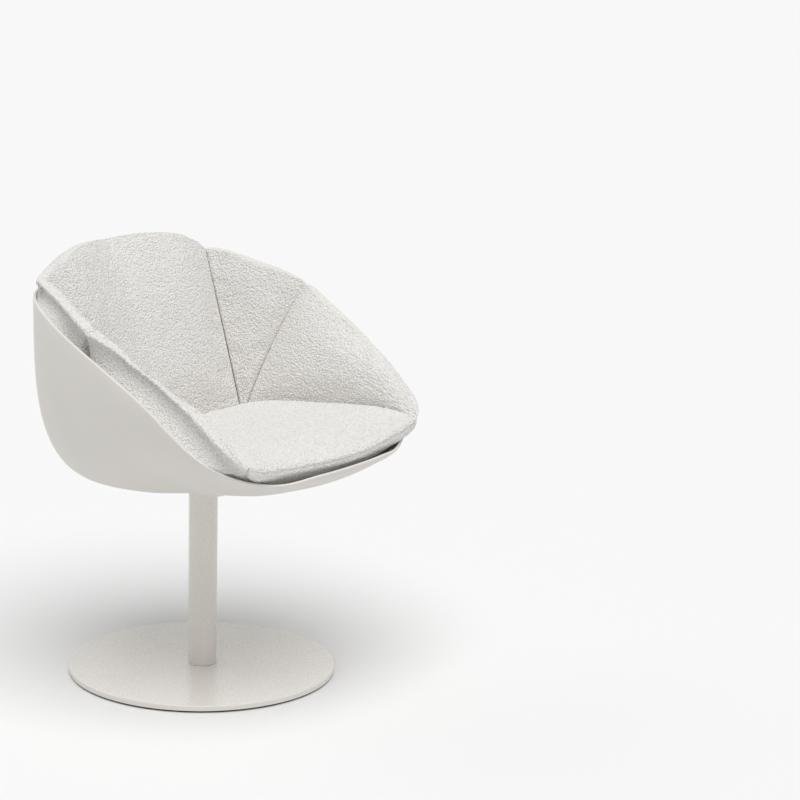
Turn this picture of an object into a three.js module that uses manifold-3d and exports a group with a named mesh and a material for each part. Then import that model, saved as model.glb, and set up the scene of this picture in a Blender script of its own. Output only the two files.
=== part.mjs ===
// Pedestal swivel armchair.
// A round steel base and a steel column carry a moulded tub shell on a swivel bearing.
// A folded cushion of six padded panels lies in the shell: seat, back, two wedges and two arms.
// Units are millimetres. +Z is up, the chair faces -Y and +X is the sitter's left.
// The origin is on the floor, at the centre of the base, on the swivel axis.
import * as THREE from 'three';
import { mergeVertices } from 'three/addons/utils/BufferGeometryUtils.js';
import Module from 'manifold-3d';

const wasm = await Module();
wasm.setup();

// Fits
const TOUCH = 0.3;            // gap between pieces that rest on or in each other
const RUNNING = 0.1;          // radial gap of the swivel spindle in its bushes
const CUT_OVERRUN = 2;        // how far a cutter passes the face it cuts
const POCKET_OVERRUN = 20;    // how far a cushion pocket passes the open back of its cover
const MERGE = 0.001;          // points closer than this are one point

// Base and column
const BASE_RADIUS = 250;
const BASE_THICKNESS = 10;
const BASE_EDGE_RADIUS = 1.5;
const UNDERLAY_THICKNESS = 3;
const UNDERLAY_INSET = 5;
const COLUMN_RADIUS = 27;
const COLUMN_WALL = 3;
const FOOT_PLUG_HEIGHT = 18;
const BASE_SCREW_COUNT = 3;
const BASE_SCREW_CIRCLE_RADIUS = 14;
const BASE_SCREW_RADIUS = 4;
const BASE_SCREW_HEAD_RADIUS = 7.8;
const BASE_SCREW_HEAD_HEIGHT = 4.2;
const BASE_SCREW_GRIP = 13;   // thread length inside the foot plug
const BASE_SCREW_RIM = 0.3;   // straight rim of the head
const BASE_SCREW_SINK = 0.1;  // head below the underside of the base

// Swivel bearing, in the top of the column
const SPINDLE_RADIUS = 15;
const SPINDLE_BOSS_RADIUS = 22;
const SPINDLE_BOSS_HEIGHT = 5;
const COLUMN_TOP_GAP = 1.5;   // running gap between the column and the plate
const THRUST_WASHER_THICKNESS = 2;
const THRUST_WASHER_RADIUS = 21;
const BUSH_WALL = 3;
const BUSH_FLANGE_THICKNESS = 2;
const BUSH_FLANGE_RADIUS = 21.5;
const BUSH_BARREL = 20;
const HOUSING_LENGTH = 90;
const RETAINER_WASHER_THICKNESS = 2;
const RETAINER_WASHER_RADIUS = 21;
const RING_THICKNESS = 1.5;
const RING_RADIUS = 18;
const RING_GROOVE_DEPTH = 1.2;
const RING_MOUTH_DEGREES = 50;
const SPINDLE_TAIL = 4;       // spindle left below the retaining ring

// Seat plate and its fixings
const PLATE_SIZE = 170;
const PLATE_THICKNESS = 6;
const PLATE_CORNER_RADIUS = 22;
const PLATE_FORWARD = 12;     // plate centre ahead of the column axis
const BOLT_SPACING = 110;
const BOLT_RADIUS = 4;
const BOLT_CLEARANCE = 0.4;
const BOLT_HEAD_RADIUS = 7;
const BOLT_HEAD_HEIGHT = 4.4;
const BOLT_HEAD_CHAMFER = 2;
const BOLT_WASHER_RADIUS = 8;
const BOLT_WASHER_THICKNESS = 1.6;
const INSERT_BARREL_WALL = 1.4;
const INSERT_FLANGE_RADIUS = 10;
const INSERT_FLANGE_THICKNESS = 1.6;
const BOLT_END_SHORT = 1;     // bolt end below the insert's flange face

// Moulded shell
const SHELL_WALL = 6;
const SHELL_UNDERSIDE_Z = 374;
const FLOOR_MARGIN = 3.3;        // insert flange to the start of the wall's curve
const RIM_SIDE_RADIUS = 334;     // rim radius at the sitter's side
const RIM_RISE = 359;            // rim height at the back, above the underside
const RIM_EASE = 1.4;            // bevel on the rim's edges
// Rim by its angle from the back, round to the front
const rimAngles = [0, 30, 60, 90, 110, 130, 147, 165, 180];
const rimRadiusShares = [0.898, 0.896, 0.965, 1, 1.069, 1.155, 1.096, 1.052, 1.03];
const rimHeightShares = [1, 0.995, 0.967, 0.795, 0.615, 0.323, 0.212, 0.22, 0.22];
// Power of the wall's curve from floor to rim: 2 is a quarter ellipse, more is squarer
const curveAngles = [0, 50, 90, 130, 180];
const curvePowers = [3.0, 3.4, 2.4, 1.35, 1.6];

// Cushion
const CUSHION_CLEARANCE = 0.8;   // band foot to the inside of the rim
const LINING_PRESS = 4;          // how far a panel's back is drawn past the shell before it is trimmed to it
const PANEL_GAP = 1.2;           // seam gap between two panels
const POCKET_FIT = 0.6;          // foam core to the pocket of its cover
const EDGE_SETBACK = 20;         // largest step of the edge seam in from the rim
const EDGE_STAND = 45;           // height of the edge seam above the rim at the back
const edgeAngles = [0, 30, 51, 72, 90, 108, 124, 136, 141, 152, 166, 180];
const edgeSetbackShares = [0.2, 0.1, 0.25, 0.8, 0.8, 1.1, 0.6, -0.8, -1.4, -0.8, -0.2, 0.2];
const edgeStandShares = [1, 1.02, 0.76, 0.67, 0.8, 0.96, 1.18, 0.75, 0.55, 0.6, 0.47, 0.4];
const STRIP_WIDTH = 17;          // sewn strip along the edge, from the edge seam to the face
const STRIP_RISE = 8;            // its inner seam above the edge seam
const STRIP_CREST = 12;          // its crest above the edge seam
const stripCrestShare = 0.45;    // place of the crest across the strip
// The strip narrows towards the arm's tip
const stripAngles = [0, 108, 126, 139.5, 180];
const stripSizeShares = [1, 1, 0.8, 0.4, 0.4];
const TIP_CREASE_INSET = 5;      // arm's tip, from the strip to the crease
const FRONT_BAND = 14;           // height of the seat's front edge
const FRONT_BAND_LEAN = 3;
const FRONT_FOOT_INSET = 10;     // underside of the front edge, in from the band
const EDGE_TURN_DEGREES = 1;     // step for the direction of the edge
const BACK_SEAM_DEGREES = 51.4;  // back to wedge, at the edge
const ARM_SEAM_DEGREES = 89.5;   // wedge to arm, at the edge
const TIP_DEGREES = 139.5;       // front end of the arm
const CREASE_HALF_WIDTH = 210;   // seat corner where the seams meet
const CREASE_CORNER_Y = 77;
const CREASE_CORNER_Z = 455;
const CREASE_BACK_BOW = 24;      // bow of the crease behind the sitter
const CREASE_BACK_DROP = 3;
const CREASE_ARM_BOW = 8;        // bow of the crease along the arm
const WEDGE_FOOT = 12;           // width of the wedge at the seat
const FRONT_GAP = 5;             // gap between cushion and rim at the front corners
const gapAngles = [0, 108, 124, 136, 150, 180];
const gapShares = [0, 0, 0.35, 1, 1, 0.6];
const footAngles = [0, 70, 113, 126, 136, 180];
const footShares = [0.1, 0.13, 0.33, 0.62, 1, 1];
const SEAT_CENTRE_Y = -110;
const SEAT_CENTRE_Z = 477;
const SEAT_UNDERSIDE_Z = 432;
const PANEL_CROWN = 13;
const SEAT_CROWN = 20;
const SIDE_PULL = 4;             // how far a panel's sides draw in between its edges
const CROWN_POWER = 3.2;
const SEAT_SIDE_SHARE = 0.6;     // seat pad's share of the height of its side
const LINING_POWER = 5;
const STRIP_POWER = 10;
const LARGEST_MARGIN_SHARE = 0.45;
const SEAT_COVER = 8;            // cover and wadding above the seat's core
const seatFaceShares = [0.3, 0.55, 0.75, 0.88, 0.96, 1];
const seatLipShare = 0.67;
const seatUnderShares = [0.92, 0.8, 0.4];
const coreTopShares = [0.4, 0.75, 0.93];
const coreUnderShares = [0.88, 0.8, 0.4];
const SEAT_FRONT_STEPS = 16;

// Foam cores inside the panel covers, and the foam block below the seat
const COVER_EDGE = 13;           // cover and wadding at a core's sides
const COVER_FACE_SHARE = 0.16;   // share of the panel's depth that is cover and wadding
const COVER_BAND = 24;           // foam core to the edge seam
const TIP_TRIM = 90;             // foam core ends this far from the arm's tip
const BLOCK_RADIUS = 172;
const BLOCK_CENTRE_Y = -60;
const BLOCK_EDGE = 4;
const POCKET_CLEARANCE = 2;

// Facets
const ROUND_SIDES = 32;
const BASE_SIDES = 64;
const SMALL_SIDES = 12;
const SHELL_COLUMNS = 56;
const SHELL_ROWS = 8;

// Levels that follow from the sizes
const baseBottom = UNDERLAY_THICKNESS + TOUCH;
const baseTop = baseBottom + BASE_THICKNESS;
const columnBottom = baseTop + TOUCH;
const plateTop = SHELL_UNDERSIDE_Z - TOUCH;
const plateBottom = plateTop - PLATE_THICKNESS;
const columnTop = plateBottom - COLUMN_TOP_GAP;
const columnBore = COLUMN_RADIUS - COLUMN_WALL;
const bossTop = plateBottom - TOUCH;
const bossBottom = bossTop - SPINDLE_BOSS_HEIGHT;
const thrustTop = bossBottom - TOUCH;
const thrustBottom = thrustTop - THRUST_WASHER_THICKNESS;
const upperBushTop = thrustBottom - TOUCH;
const housingTop = upperBushTop - BUSH_FLANGE_THICKNESS - TOUCH;
const housingBottom = housingTop - HOUSING_LENGTH;
const lowerBushBottom = housingBottom - TOUCH - BUSH_FLANGE_THICKNESS;
const retainerTop = lowerBushBottom - TOUCH;
const retainerBottom = retainerTop - RETAINER_WASHER_THICKNESS;
const ringTop = retainerBottom - TOUCH;
const ringBottom = ringTop - RING_THICKNESS;
const spindleBottom = ringBottom - TOUCH - SPINDLE_TAIL;
const shellFloorTop = SHELL_UNDERSIDE_Z + SHELL_WALL;
const farthestBolt = Math.hypot(BOLT_SPACING / 2, BOLT_SPACING / 2 + PLATE_FORWARD);
const shellFlatRadius = farthestBolt + INSERT_FLANGE_RADIUS + FLOOR_MARGIN;
const bushBore = SPINDLE_RADIUS + RUNNING;
const bushOuter = bushBore + BUSH_WALL;
const boltPlaces = [[-1, -1], [1, -1], [1, 1], [-1, 1]].map(([across, along]) => ({
  x: across * BOLT_SPACING / 2,
  y: along * BOLT_SPACING / 2 - PLATE_FORWARD,
}));

// Finishes
const finish = (color, roughness, metalness) => ({ color, roughness, metalness });
const paint = finish('#cbc5bb', 0.55, 0.1);
const bareSteel = finish('#8f9194', 0.4, 0.9);
const darkFelt = finish('#3a3836', 0.95, 0);
const nylon = finish('#e6e2d6', 0.5, 0);
const moulding = finish('#cfc9bf', 0.6, 0);
const fabric = finish('#e2ded8', 0.95, 0);
const foam = finish('#d9c890', 0.9, 0);

// Small maths
const mix = (a, b, share) => a + (b - a) * share;
const mixPoint = (a, b, share) => new THREE.Vector3().lerpVectors(a, b, share);
const radians = (degrees) => degrees * Math.PI / 180;
const polar = (radius, degrees, z) =>
  new THREE.Vector3(radius * Math.sin(radians(degrees)), radius * Math.cos(radians(degrees)), z);
const azimuthOf = (point) => THREE.MathUtils.radToDeg(Math.atan2(point.x, point.y));

// Smooth curve through a table given from back to front, the same on both sides of the chair
function smoothTable(angles, values, degrees) {
  const angle = Math.abs(THREE.MathUtils.euclideanModulo(degrees + 180, 360) - 180);
  const last = angles.length - 1;
  const angleAt = (i) => (i < 0 ? -angles[-i] : i > last ? 360 - angles[2 * last - i] : angles[i]);
  const valueAt = (i) => values[i < 0 ? -i : i > last ? 2 * last - i : i];
  let cell = 0;
  while (cell < last - 1 && angle >= angles[cell + 1]) cell += 1;
  const slopeAt = (i) => (valueAt(i + 1) - valueAt(i - 1)) / (angleAt(i + 1) - angleAt(i - 1));
  const width = angles[cell + 1] - angles[cell];
  const share = (angle - angles[cell]) / width;
  const square = share * share;
  const cube = square * share;
  return (2 * cube - 3 * square + 1) * values[cell]
    + (cube - 2 * square + share) * width * slopeAt(cell)
    + (3 * square - 2 * cube) * values[cell + 1]
    + (cube - square) * width * slopeAt(cell + 1);
}

// The shell's rim, and the curve of its wall between floor and rim
const rimRadius = (degrees) => RIM_SIDE_RADIUS * smoothTable(rimAngles, rimRadiusShares, degrees);
const rimHeight = (degrees) =>
  SHELL_UNDERSIDE_Z + RIM_RISE * smoothTable(rimAngles, rimHeightShares, degrees);
const curvePower = (degrees) => smoothTable(curveAngles, curvePowers, degrees);

function shellRadius(degrees, z, inset) {
  const low = SHELL_UNDERSIDE_Z + inset;
  const high = rimHeight(degrees);
  const power = curvePower(degrees);
  const rise = THREE.MathUtils.clamp((z - low) / (high - low), 0, 1);
  const reach = (1 - (1 - rise) ** power) ** (1 / power);
  return mix(shellFlatRadius, rimRadius(degrees) - inset, reach);
}

function shellLevel(x, y, inset) {
  const degrees = THREE.MathUtils.radToDeg(Math.atan2(x, y));
  const low = SHELL_UNDERSIDE_Z + inset;
  const power = curvePower(degrees);
  const out = (Math.hypot(x, y) - shellFlatRadius) / (rimRadius(degrees) - inset - shellFlatRadius);
  const reach = THREE.MathUtils.clamp(out, 0, 1);
  return mix(low, rimHeight(degrees), 1 - (1 - reach ** power) ** (1 / power));
}

// Closed meshes
function mergedGeometry(points, triangles) {
  const places = points.flatMap((point) => point.toArray());
  const geometry = new THREE.BufferGeometry();
  geometry.setAttribute('position', new THREE.Float32BufferAttribute(places, 3));
  geometry.setIndex(triangles.flat());
  return geometry;
}

function solidFrom(geometry) {
  const bare = geometry.clone();
  bare.deleteAttribute('normal');
  bare.deleteAttribute('uv');
  const merged = mergeVertices(bare, MERGE);
  const position = merged.getAttribute('position');
  const corners = [];
  for (let i = 0; i < merged.index.count; i += 3) {
    const [a, b, c] = [0, 1, 2].map((k) => merged.index.getX(i + k));
    if (a !== b && b !== c && c !== a) corners.push([a, b, c]);
  }
  const vertex = (i) => new THREE.Vector3().fromBufferAttribute(position, i);
  const volume = corners.reduce((sum, [a, b, c]) => sum + vertex(a).dot(vertex(b).cross(vertex(c))), 0);
  const facing = volume < 0 ? corners.map(([a, b, c]) => [a, c, b]) : corners;
  return new wasm.Manifold(new wasm.Mesh({
    numProp: 3,
    vertProperties: new Float32Array(position.array),
    triVerts: new Uint32Array(facing.flat()),
  }));
}

function geometryFrom(solid) {
  const mesh = solid.getMesh();
  const geometry = new THREE.BufferGeometry();
  geometry.setAttribute('position', new THREE.BufferAttribute(new Float32Array(mesh.vertProperties), 3));
  geometry.setIndex(new THREE.BufferAttribute(new Uint32Array(mesh.triVerts), 1));
  const flat = geometry.toNonIndexed();
  flat.computeVertexNormals();
  return flat;
}

// A turned solid about Z from a closed outline of [radius, z] points
function turned(outline, sides) {
  const closed = [...outline, outline[0]].map(([radius, z]) => new THREE.Vector2(radius, z));
  return solidFrom(new THREE.LatheGeometry(closed, sides).rotateX(Math.PI / 2));
}

const ring = (inner, outer, bottom, top, sides) =>
  turned([[inner, bottom], [outer, bottom], [outer, top], [inner, top]], sides);
const rod = (radius, bottom, top, sides) =>
  turned([[0, bottom], [radius, bottom], [radius, top], [0, top]], sides);
const cutAll = (solid, cutters) => cutters.reduce((left, cutter) => left.subtract(cutter), solid);

// A solid between two fields of rows: rows[i][j] are points, each row runs round the solid
function rowsGeometry(rows, start, end) {
  const columns = rows[0].length;
  const points = [start, ...rows.flat(), end];
  const at = (row, column) => 1 + row * columns + (column % columns);
  const triangles = [];
  for (let j = 0; j < columns; j += 1) {
    triangles.push([0, at(0, j + 1), at(0, j)]);
    for (let i = 0; i < rows.length - 1; i += 1) {
      triangles.push([at(i, j), at(i, j + 1), at(i + 1, j)]);
      triangles.push([at(i, j + 1), at(i + 1, j + 1), at(i + 1, j)]);
    }
    triangles.push([points.length - 1, at(rows.length - 1, j), at(rows.length - 1, j + 1)]);
  }
  return mergedGeometry(points, triangles);
}

// Base
function baseDisc() {
  const edge = BASE_RADIUS - BASE_EDGE_RADIUS;
  const body = turned([
    [0, baseBottom], [edge, baseBottom], [BASE_RADIUS, baseBottom + BASE_EDGE_RADIUS],
    [BASE_RADIUS, baseTop - BASE_EDGE_RADIUS], [edge, baseTop], [0, baseTop],
  ], BASE_SIDES);
  return cutAll(body, baseScrewPlaces().map((place) => baseScrewHole().translate([place.x, place.y, 0])));
}

const baseUnderlay = () => rod(BASE_RADIUS - UNDERLAY_INSET, 0, UNDERLAY_THICKNESS, BASE_SIDES);

function baseScrewPlaces() {
  const step = 360 / BASE_SCREW_COUNT;
  return Array.from({ length: BASE_SCREW_COUNT }, (_, i) => polar(BASE_SCREW_CIRCLE_RADIUS, i * step, 0));
}

// Countersunk screw outline, grown by a clearance for its hole
function baseScrewOutline(grow, bottom, top) {
  const rim = baseBottom + BASE_SCREW_SINK + BASE_SCREW_RIM;
  const headTop = rim + BASE_SCREW_HEAD_HEIGHT;
  return [
    [0, bottom], [BASE_SCREW_HEAD_RADIUS + grow, bottom], [BASE_SCREW_HEAD_RADIUS + grow, rim],
    [BASE_SCREW_RADIUS + grow, headTop], [BASE_SCREW_RADIUS + grow, top], [0, top],
  ];
}

function baseScrewHole() {
  const top = columnBottom + FOOT_PLUG_HEIGHT + CUT_OVERRUN;
  return turned(baseScrewOutline(TOUCH, baseBottom - CUT_OVERRUN, top), SMALL_SIDES);
}

const baseScrew = () =>
  turned(baseScrewOutline(0, baseBottom + BASE_SCREW_SINK, baseTop + BASE_SCREW_GRIP), SMALL_SIDES);

// Column
const columnTube = () => ring(columnBore, COLUMN_RADIUS, columnBottom, columnTop, ROUND_SIDES);

function columnFootPlug() {
  const body = rod(columnBore - TOUCH, columnBottom, columnBottom + FOOT_PLUG_HEIGHT, ROUND_SIDES);
  return cutAll(body, baseScrewPlaces().map((place) => baseScrewHole().translate([place.x, place.y, 0])));
}

// Swivel bearing
const swivelHousing = () =>
  ring(bushOuter + TOUCH, columnBore - TOUCH, housingBottom, housingTop, ROUND_SIDES);

function upperBush() {
  const flangeBottom = upperBushTop - BUSH_FLANGE_THICKNESS;
  return turned([
    [bushBore, upperBushTop], [BUSH_FLANGE_RADIUS, upperBushTop], [BUSH_FLANGE_RADIUS, flangeBottom],
    [bushOuter, flangeBottom], [bushOuter, flangeBottom - BUSH_BARREL],
    [bushBore, flangeBottom - BUSH_BARREL],
  ], ROUND_SIDES);
}

function lowerBush() {
  const flangeTop = lowerBushBottom + BUSH_FLANGE_THICKNESS;
  return turned([
    [bushBore, lowerBushBottom], [BUSH_FLANGE_RADIUS, lowerBushBottom], [BUSH_FLANGE_RADIUS, flangeTop],
    [bushOuter, flangeTop], [bushOuter, flangeTop + BUSH_BARREL], [bushBore, flangeTop + BUSH_BARREL],
  ], ROUND_SIDES);
}

function swivelSpindle() {
  const groove = SPINDLE_RADIUS - RING_GROOVE_DEPTH;
  return turned([
    [0, spindleBottom], [SPINDLE_RADIUS, spindleBottom], [SPINDLE_RADIUS, ringBottom - TOUCH],
    [groove, ringBottom - TOUCH], [groove, ringTop + TOUCH / 2], [SPINDLE_RADIUS, ringTop + TOUCH / 2],
    [SPINDLE_RADIUS, bossBottom], [SPINDLE_BOSS_RADIUS, bossBottom],
    [SPINDLE_BOSS_RADIUS, bossTop], [0, bossTop],
  ], ROUND_SIDES);
}

const thrustWasher = () =>
  ring(bushBore, THRUST_WASHER_RADIUS, thrustBottom, thrustTop, ROUND_SIDES);
const retainerWasher = () =>
  ring(bushBore, RETAINER_WASHER_RADIUS, retainerBottom, retainerTop, ROUND_SIDES);

// Open spring ring, as an extruded outline with a mouth
function retainingRing() {
  const inner = SPINDLE_RADIUS - RING_GROOVE_DEPTH + TOUCH;
  const from = radians(RING_MOUTH_DEGREES / 2);
  const to = 2 * Math.PI - from;
  const shape = new THREE.Shape();
  shape.absarc(0, 0, RING_RADIUS, from, to, false);
  shape.absarc(0, 0, inner, to, from, true);
  shape.closePath();
  const options = { depth: RING_THICKNESS, bevelEnabled: false, curveSegments: ROUND_SIDES / 2 };
  return solidFrom(new THREE.ExtrudeGeometry(shape, options).translate(0, 0, ringBottom));
}

// Seat plate and fixings
function mountingPlate() {
  const half = PLATE_SIZE / 2;
  const flat = half - PLATE_CORNER_RADIUS;
  const shape = new THREE.Shape();
  shape.absarc(flat, flat, PLATE_CORNER_RADIUS, 0, Math.PI / 2, false);
  shape.absarc(-flat, flat, PLATE_CORNER_RADIUS, Math.PI / 2, Math.PI, false);
  shape.absarc(-flat, -flat, PLATE_CORNER_RADIUS, Math.PI, 3 * Math.PI / 2, false);
  shape.absarc(flat, -flat, PLATE_CORNER_RADIUS, 3 * Math.PI / 2, 2 * Math.PI, false);
  shape.closePath();
  const options = { depth: PLATE_THICKNESS, bevelEnabled: false, curveSegments: SMALL_SIDES / 4 };
  const outline = new THREE.ExtrudeGeometry(shape, options);
  const body = solidFrom(outline.translate(0, -PLATE_FORWARD, plateBottom));
  const bore = BOLT_RADIUS + BOLT_CLEARANCE;
  const hole = rod(bore, plateBottom - CUT_OVERRUN, plateTop + CUT_OVERRUN, SMALL_SIDES);
  return cutAll(body, boltPlaces.map(({ x, y }) => hole.translate([x, y, 0])));
}

const washerTop = plateBottom - TOUCH;
const washerBottom = washerTop - BOLT_WASHER_THICKNESS;
const plateWasher = () =>
  ring(BOLT_RADIUS + BOLT_CLEARANCE, BOLT_WASHER_RADIUS, washerBottom, washerTop, SMALL_SIDES);

function plateBolt() {
  const headTop = washerBottom - TOUCH;
  const headBottom = headTop - BOLT_HEAD_HEIGHT;
  const end = insertFlangeTop() - BOLT_END_SHORT;
  return turned([
    [0, headBottom], [BOLT_HEAD_RADIUS - BOLT_HEAD_CHAMFER, headBottom],
    [BOLT_HEAD_RADIUS, headBottom + BOLT_HEAD_CHAMFER],
    [BOLT_HEAD_RADIUS, headTop], [BOLT_RADIUS, headTop], [BOLT_RADIUS, end], [0, end],
  ], SMALL_SIDES);
}

const insertBore = BOLT_RADIUS + TOUCH;
const insertOuter = insertBore + INSERT_BARREL_WALL;
const insertFlangeTop = () => shellFloorTop + TOUCH + INSERT_FLANGE_THICKNESS;

function shellInsert() {
  const flangeBottom = shellFloorTop + TOUCH;
  const barrelBottom = SHELL_UNDERSIDE_Z + TOUCH;
  return turned([
    [insertBore, barrelBottom], [insertOuter, barrelBottom], [insertOuter, flangeBottom],
    [INSERT_FLANGE_RADIUS, flangeBottom], [INSERT_FLANGE_RADIUS, insertFlangeTop()],
    [insertBore, insertFlangeTop()],
  ], SMALL_SIDES);
}

// Rows of the wall at fixed shares of the curve, so that every angle has as many points
function wallPoint(degrees, inset, row) {
  const low = SHELL_UNDERSIDE_Z + inset;
  const high = rimHeight(degrees) - RIM_EASE;
  const power = curvePower(degrees);
  const turn = Math.PI / 2 * row / SHELL_ROWS;
  const rise = 1 - Math.cos(turn) ** (2 / power);
  const reach = Math.sin(turn) ** (2 / power);
  return polar(mix(shellFlatRadius, rimRadius(degrees) - inset, reach), degrees, mix(low, high, rise));
}

// Tub between two insets from the outer curve, with its rim raised
function tubSolid(outerInset, innerInset, raise) {
  const angles = Array.from({ length: SHELL_COLUMNS }, (_, j) => 360 * j / SHELL_COLUMNS - 180);
  const rowAt = (make) => angles.map((degrees) => make(degrees));
  const steps = Array.from({ length: SHELL_ROWS + 1 }, (_, i) => i);
  const outer = steps.map((i) => rowAt((degrees) => wallPoint(degrees, outerInset, i)));
  const inner = [...steps].reverse().map((i) => rowAt((degrees) => wallPoint(degrees, innerInset, i)));
  const lip = (inset) => rowAt((degrees) =>
    polar(rimRadius(degrees) - inset, degrees, rimHeight(degrees) + raise));
  const rows = [...outer, lip(outerInset + RIM_EASE), lip(innerInset - RIM_EASE), ...inner];
  const underside = new THREE.Vector3(0, 0, SHELL_UNDERSIDE_Z + outerInset);
  const floor = new THREE.Vector3(0, 0, SHELL_UNDERSIDE_Z + innerInset);
  return solidFrom(rowsGeometry(rows, underside, floor));
}

// The space that the cushion leaves to the shell
const shellSpace = tubSolid(-BASE_THICKNESS, SHELL_WALL + TOUCH, TOUCH);

function seatShell() {
  const body = tubSolid(0, SHELL_WALL, 0);
  const [bottom, top] = [SHELL_UNDERSIDE_Z - CUT_OVERRUN, shellFloorTop + CUT_OVERRUN];
  const hole = rod(insertOuter + TOUCH, bottom, top, SMALL_SIDES);
  return cutAll(body, boltPlaces.map(({ x, y }) => hole.translate([x, y, 0])));
}

// Cushion. Its edge seam stands above the rim and its band runs down to the inside of the rim
function edgePoint(degrees) {
  const setback = EDGE_SETBACK * smoothTable(edgeAngles, edgeSetbackShares, degrees);
  const stand = EDGE_STAND * smoothTable(edgeAngles, edgeStandShares, degrees);
  return polar(rimRadius(degrees) - setback, degrees, rimHeight(degrees) + stand);
}

// Point beside the edge seam, inwards and up in the plane across the seam
function besideEdge(degrees, inward, rise) {
  const ahead = edgePoint(degrees + EDGE_TURN_DEGREES);
  const along = ahead.sub(edgePoint(degrees - EDGE_TURN_DEGREES)).normalize();
  const outward = new THREE.Vector3(-along.y, along.x, 0).normalize();
  if (outward.dot(polar(1, degrees, 0)) < 0) outward.negate();
  const up = new THREE.Vector3().crossVectors(outward, along);
  if (up.z < 0) up.negate();
  return edgePoint(degrees).addScaledVector(outward, -inward).addScaledVector(up, rise);
}

const stripSize = (degrees) => smoothTable(stripAngles, stripSizeShares, degrees);
const innerSeamPoint = (degrees) =>
  besideEdge(degrees, STRIP_WIDTH * stripSize(degrees), STRIP_RISE * stripSize(degrees));
const crestPoint = (degrees) =>
  besideEdge(degrees, STRIP_WIDTH * stripCrestShare * stripSize(degrees), STRIP_CREST * stripSize(degrees));

// Stations over the strip and down the band, from the inner seam to the band's foot
const stripPath = (degrees) => [
  innerSeamPoint(degrees),
  crestPoint(degrees),
  edgePoint(degrees),
  liningPoint(degrees, 1),
];

const bandFootHeight = (degrees) =>
  rimHeight(degrees) + FRONT_GAP * smoothTable(gapAngles, gapShares, degrees);

// Back of the cushion against the shell: height share 0 is the foot of a panel, 1 the foot of the band
function liningPoint(degrees, heightShare) {
  const high = bandFootHeight(degrees);
  const low = mix(shellFloorTop, high, smoothTable(footAngles, footShares, degrees));
  const z = mix(low, high, heightShare);
  const press = mix(LINING_PRESS, -CUSHION_CLEARANCE, heightShare ** LINING_POWER);
  return polar(shellRadius(degrees, z, SHELL_WALL) + press, degrees, z);
}

// Crease round the seat: 0 is behind the sitter, 1 the seam corner and 2 the arm's tip, with its side's sign
function creasePoint(place) {
  const along = Math.abs(place);
  const corner = new THREE.Vector3(CREASE_HALF_WIDTH, CREASE_CORNER_Y, CREASE_CORNER_Z);
  const point = along <= 1 ? behindPoint(corner, along) : besidePoint(corner, along - 1);
  return place < 0 ? point.multiply(new THREE.Vector3(-1, 1, 1)) : point;
}

function behindPoint(corner, share) {
  const bow = 1 - share * share;
  const lift = new THREE.Vector3(0, CREASE_BACK_BOW, -CREASE_BACK_DROP);
  return corner.clone().setX(corner.x * share).addScaledVector(lift, bow);
}

const tipCrease = () =>
  besideEdge(TIP_DEGREES, STRIP_WIDTH * stripSize(TIP_DEGREES) + TIP_CREASE_INSET, 0);

function besidePoint(corner, share) {
  const tip = tipCrease();
  const outward = new THREE.Vector3(corner.y - tip.y, tip.x - corner.x, 0).normalize();
  return mixPoint(corner, tip, share).addScaledVector(outward, CREASE_ARM_BOW * 4 * share * (1 - share));
}

// The panels of the wall, each between a stretch of the crease and a stretch of the edge seam
const wedgeFoot = 1 + WEDGE_FOOT / creasePoint(1).distanceTo(tipCrease());
const backGrid = { steps: [12, 6, 3], coreSteps: [8, 3], foot: 12 };
const wedgeGrid = { steps: [5, 6, 3], coreSteps: [2, 3], foot: 1 };
const armGrid = { steps: [8, 6, 3], coreSteps: [4, 3], foot: 8 };
const mirrors = { left: (pair) => pair, right: (pair) => [-pair[1], -pair[0]] };
const panels = [
  { name: 'back', crease: [-1, 1], edge: [-BACK_SEAM_DEGREES, BACK_SEAM_DEGREES], ...backGrid },
  ...Object.entries(mirrors).flatMap(([side, mirror]) => [
    {
      name: `wedge_${side}`,
      crease: mirror([1, wedgeFoot]),
      edge: mirror([BACK_SEAM_DEGREES, ARM_SEAM_DEGREES]),
      ...wedgeGrid,
    },
    {
      name: `arm_${side}`,
      crease: mirror([wedgeFoot, 2]),
      edge: mirror([ARM_SEAM_DEGREES, TIP_DEGREES]),
      ...armGrid,
    },
  ]),
];

const facePoint = (panel, across, up) =>
  mixPoint(creasePoint(mix(...panel.crease, across)), innerSeamPoint(mix(...panel.edge, across)), up);

// Unit vector from the middle of a panel towards the sitter
function panelNormal(panel) {
  const [a, b, c, d] = [[0, 0], [1, 1], [1, 0], [0, 1]].map(([across, up]) => facePoint(panel, across, up));
  const normal = new THREE.Vector3().crossVectors(b.sub(a), d.sub(c)).normalize();
  const middle = facePoint(panel, 1 / 2, 1 / 2);
  const behind = liningPoint(azimuthOf(middle), 1 / 2);
  return normal.dot(middle.sub(behind)) < 0 ? normal.negate() : normal;
}

const pillow = (share) => 1 - Math.abs(2 * share - 1) ** CROWN_POWER;

// A point of a panel's patch, with margins kept off its sides, its crease and its edge, and off an arm's tip
function marginPlace(panel, across, up, margins) {
  const width = facePoint(panel, 0, up).distanceTo(facePoint(panel, 1, up));
  const limit = (margin, size) => Math.min(margin / size, LARGEST_MARGIN_SHARE);
  const tipAt = (place) => (Math.abs(panel.crease[place]) === 2 ? margins.tip : 0);
  const from = limit(margins.side + tipAt(0), width);
  const to = 1 - limit(margins.side + tipAt(1), width);
  const placeAcross = mix(from, to, across);
  const height = facePoint(panel, placeAcross, 0).distanceTo(facePoint(panel, placeAcross, 1));
  return [placeAcross, mix(limit(margins.crease, height), 1 - limit(margins.edge, height), up)];
}

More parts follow.
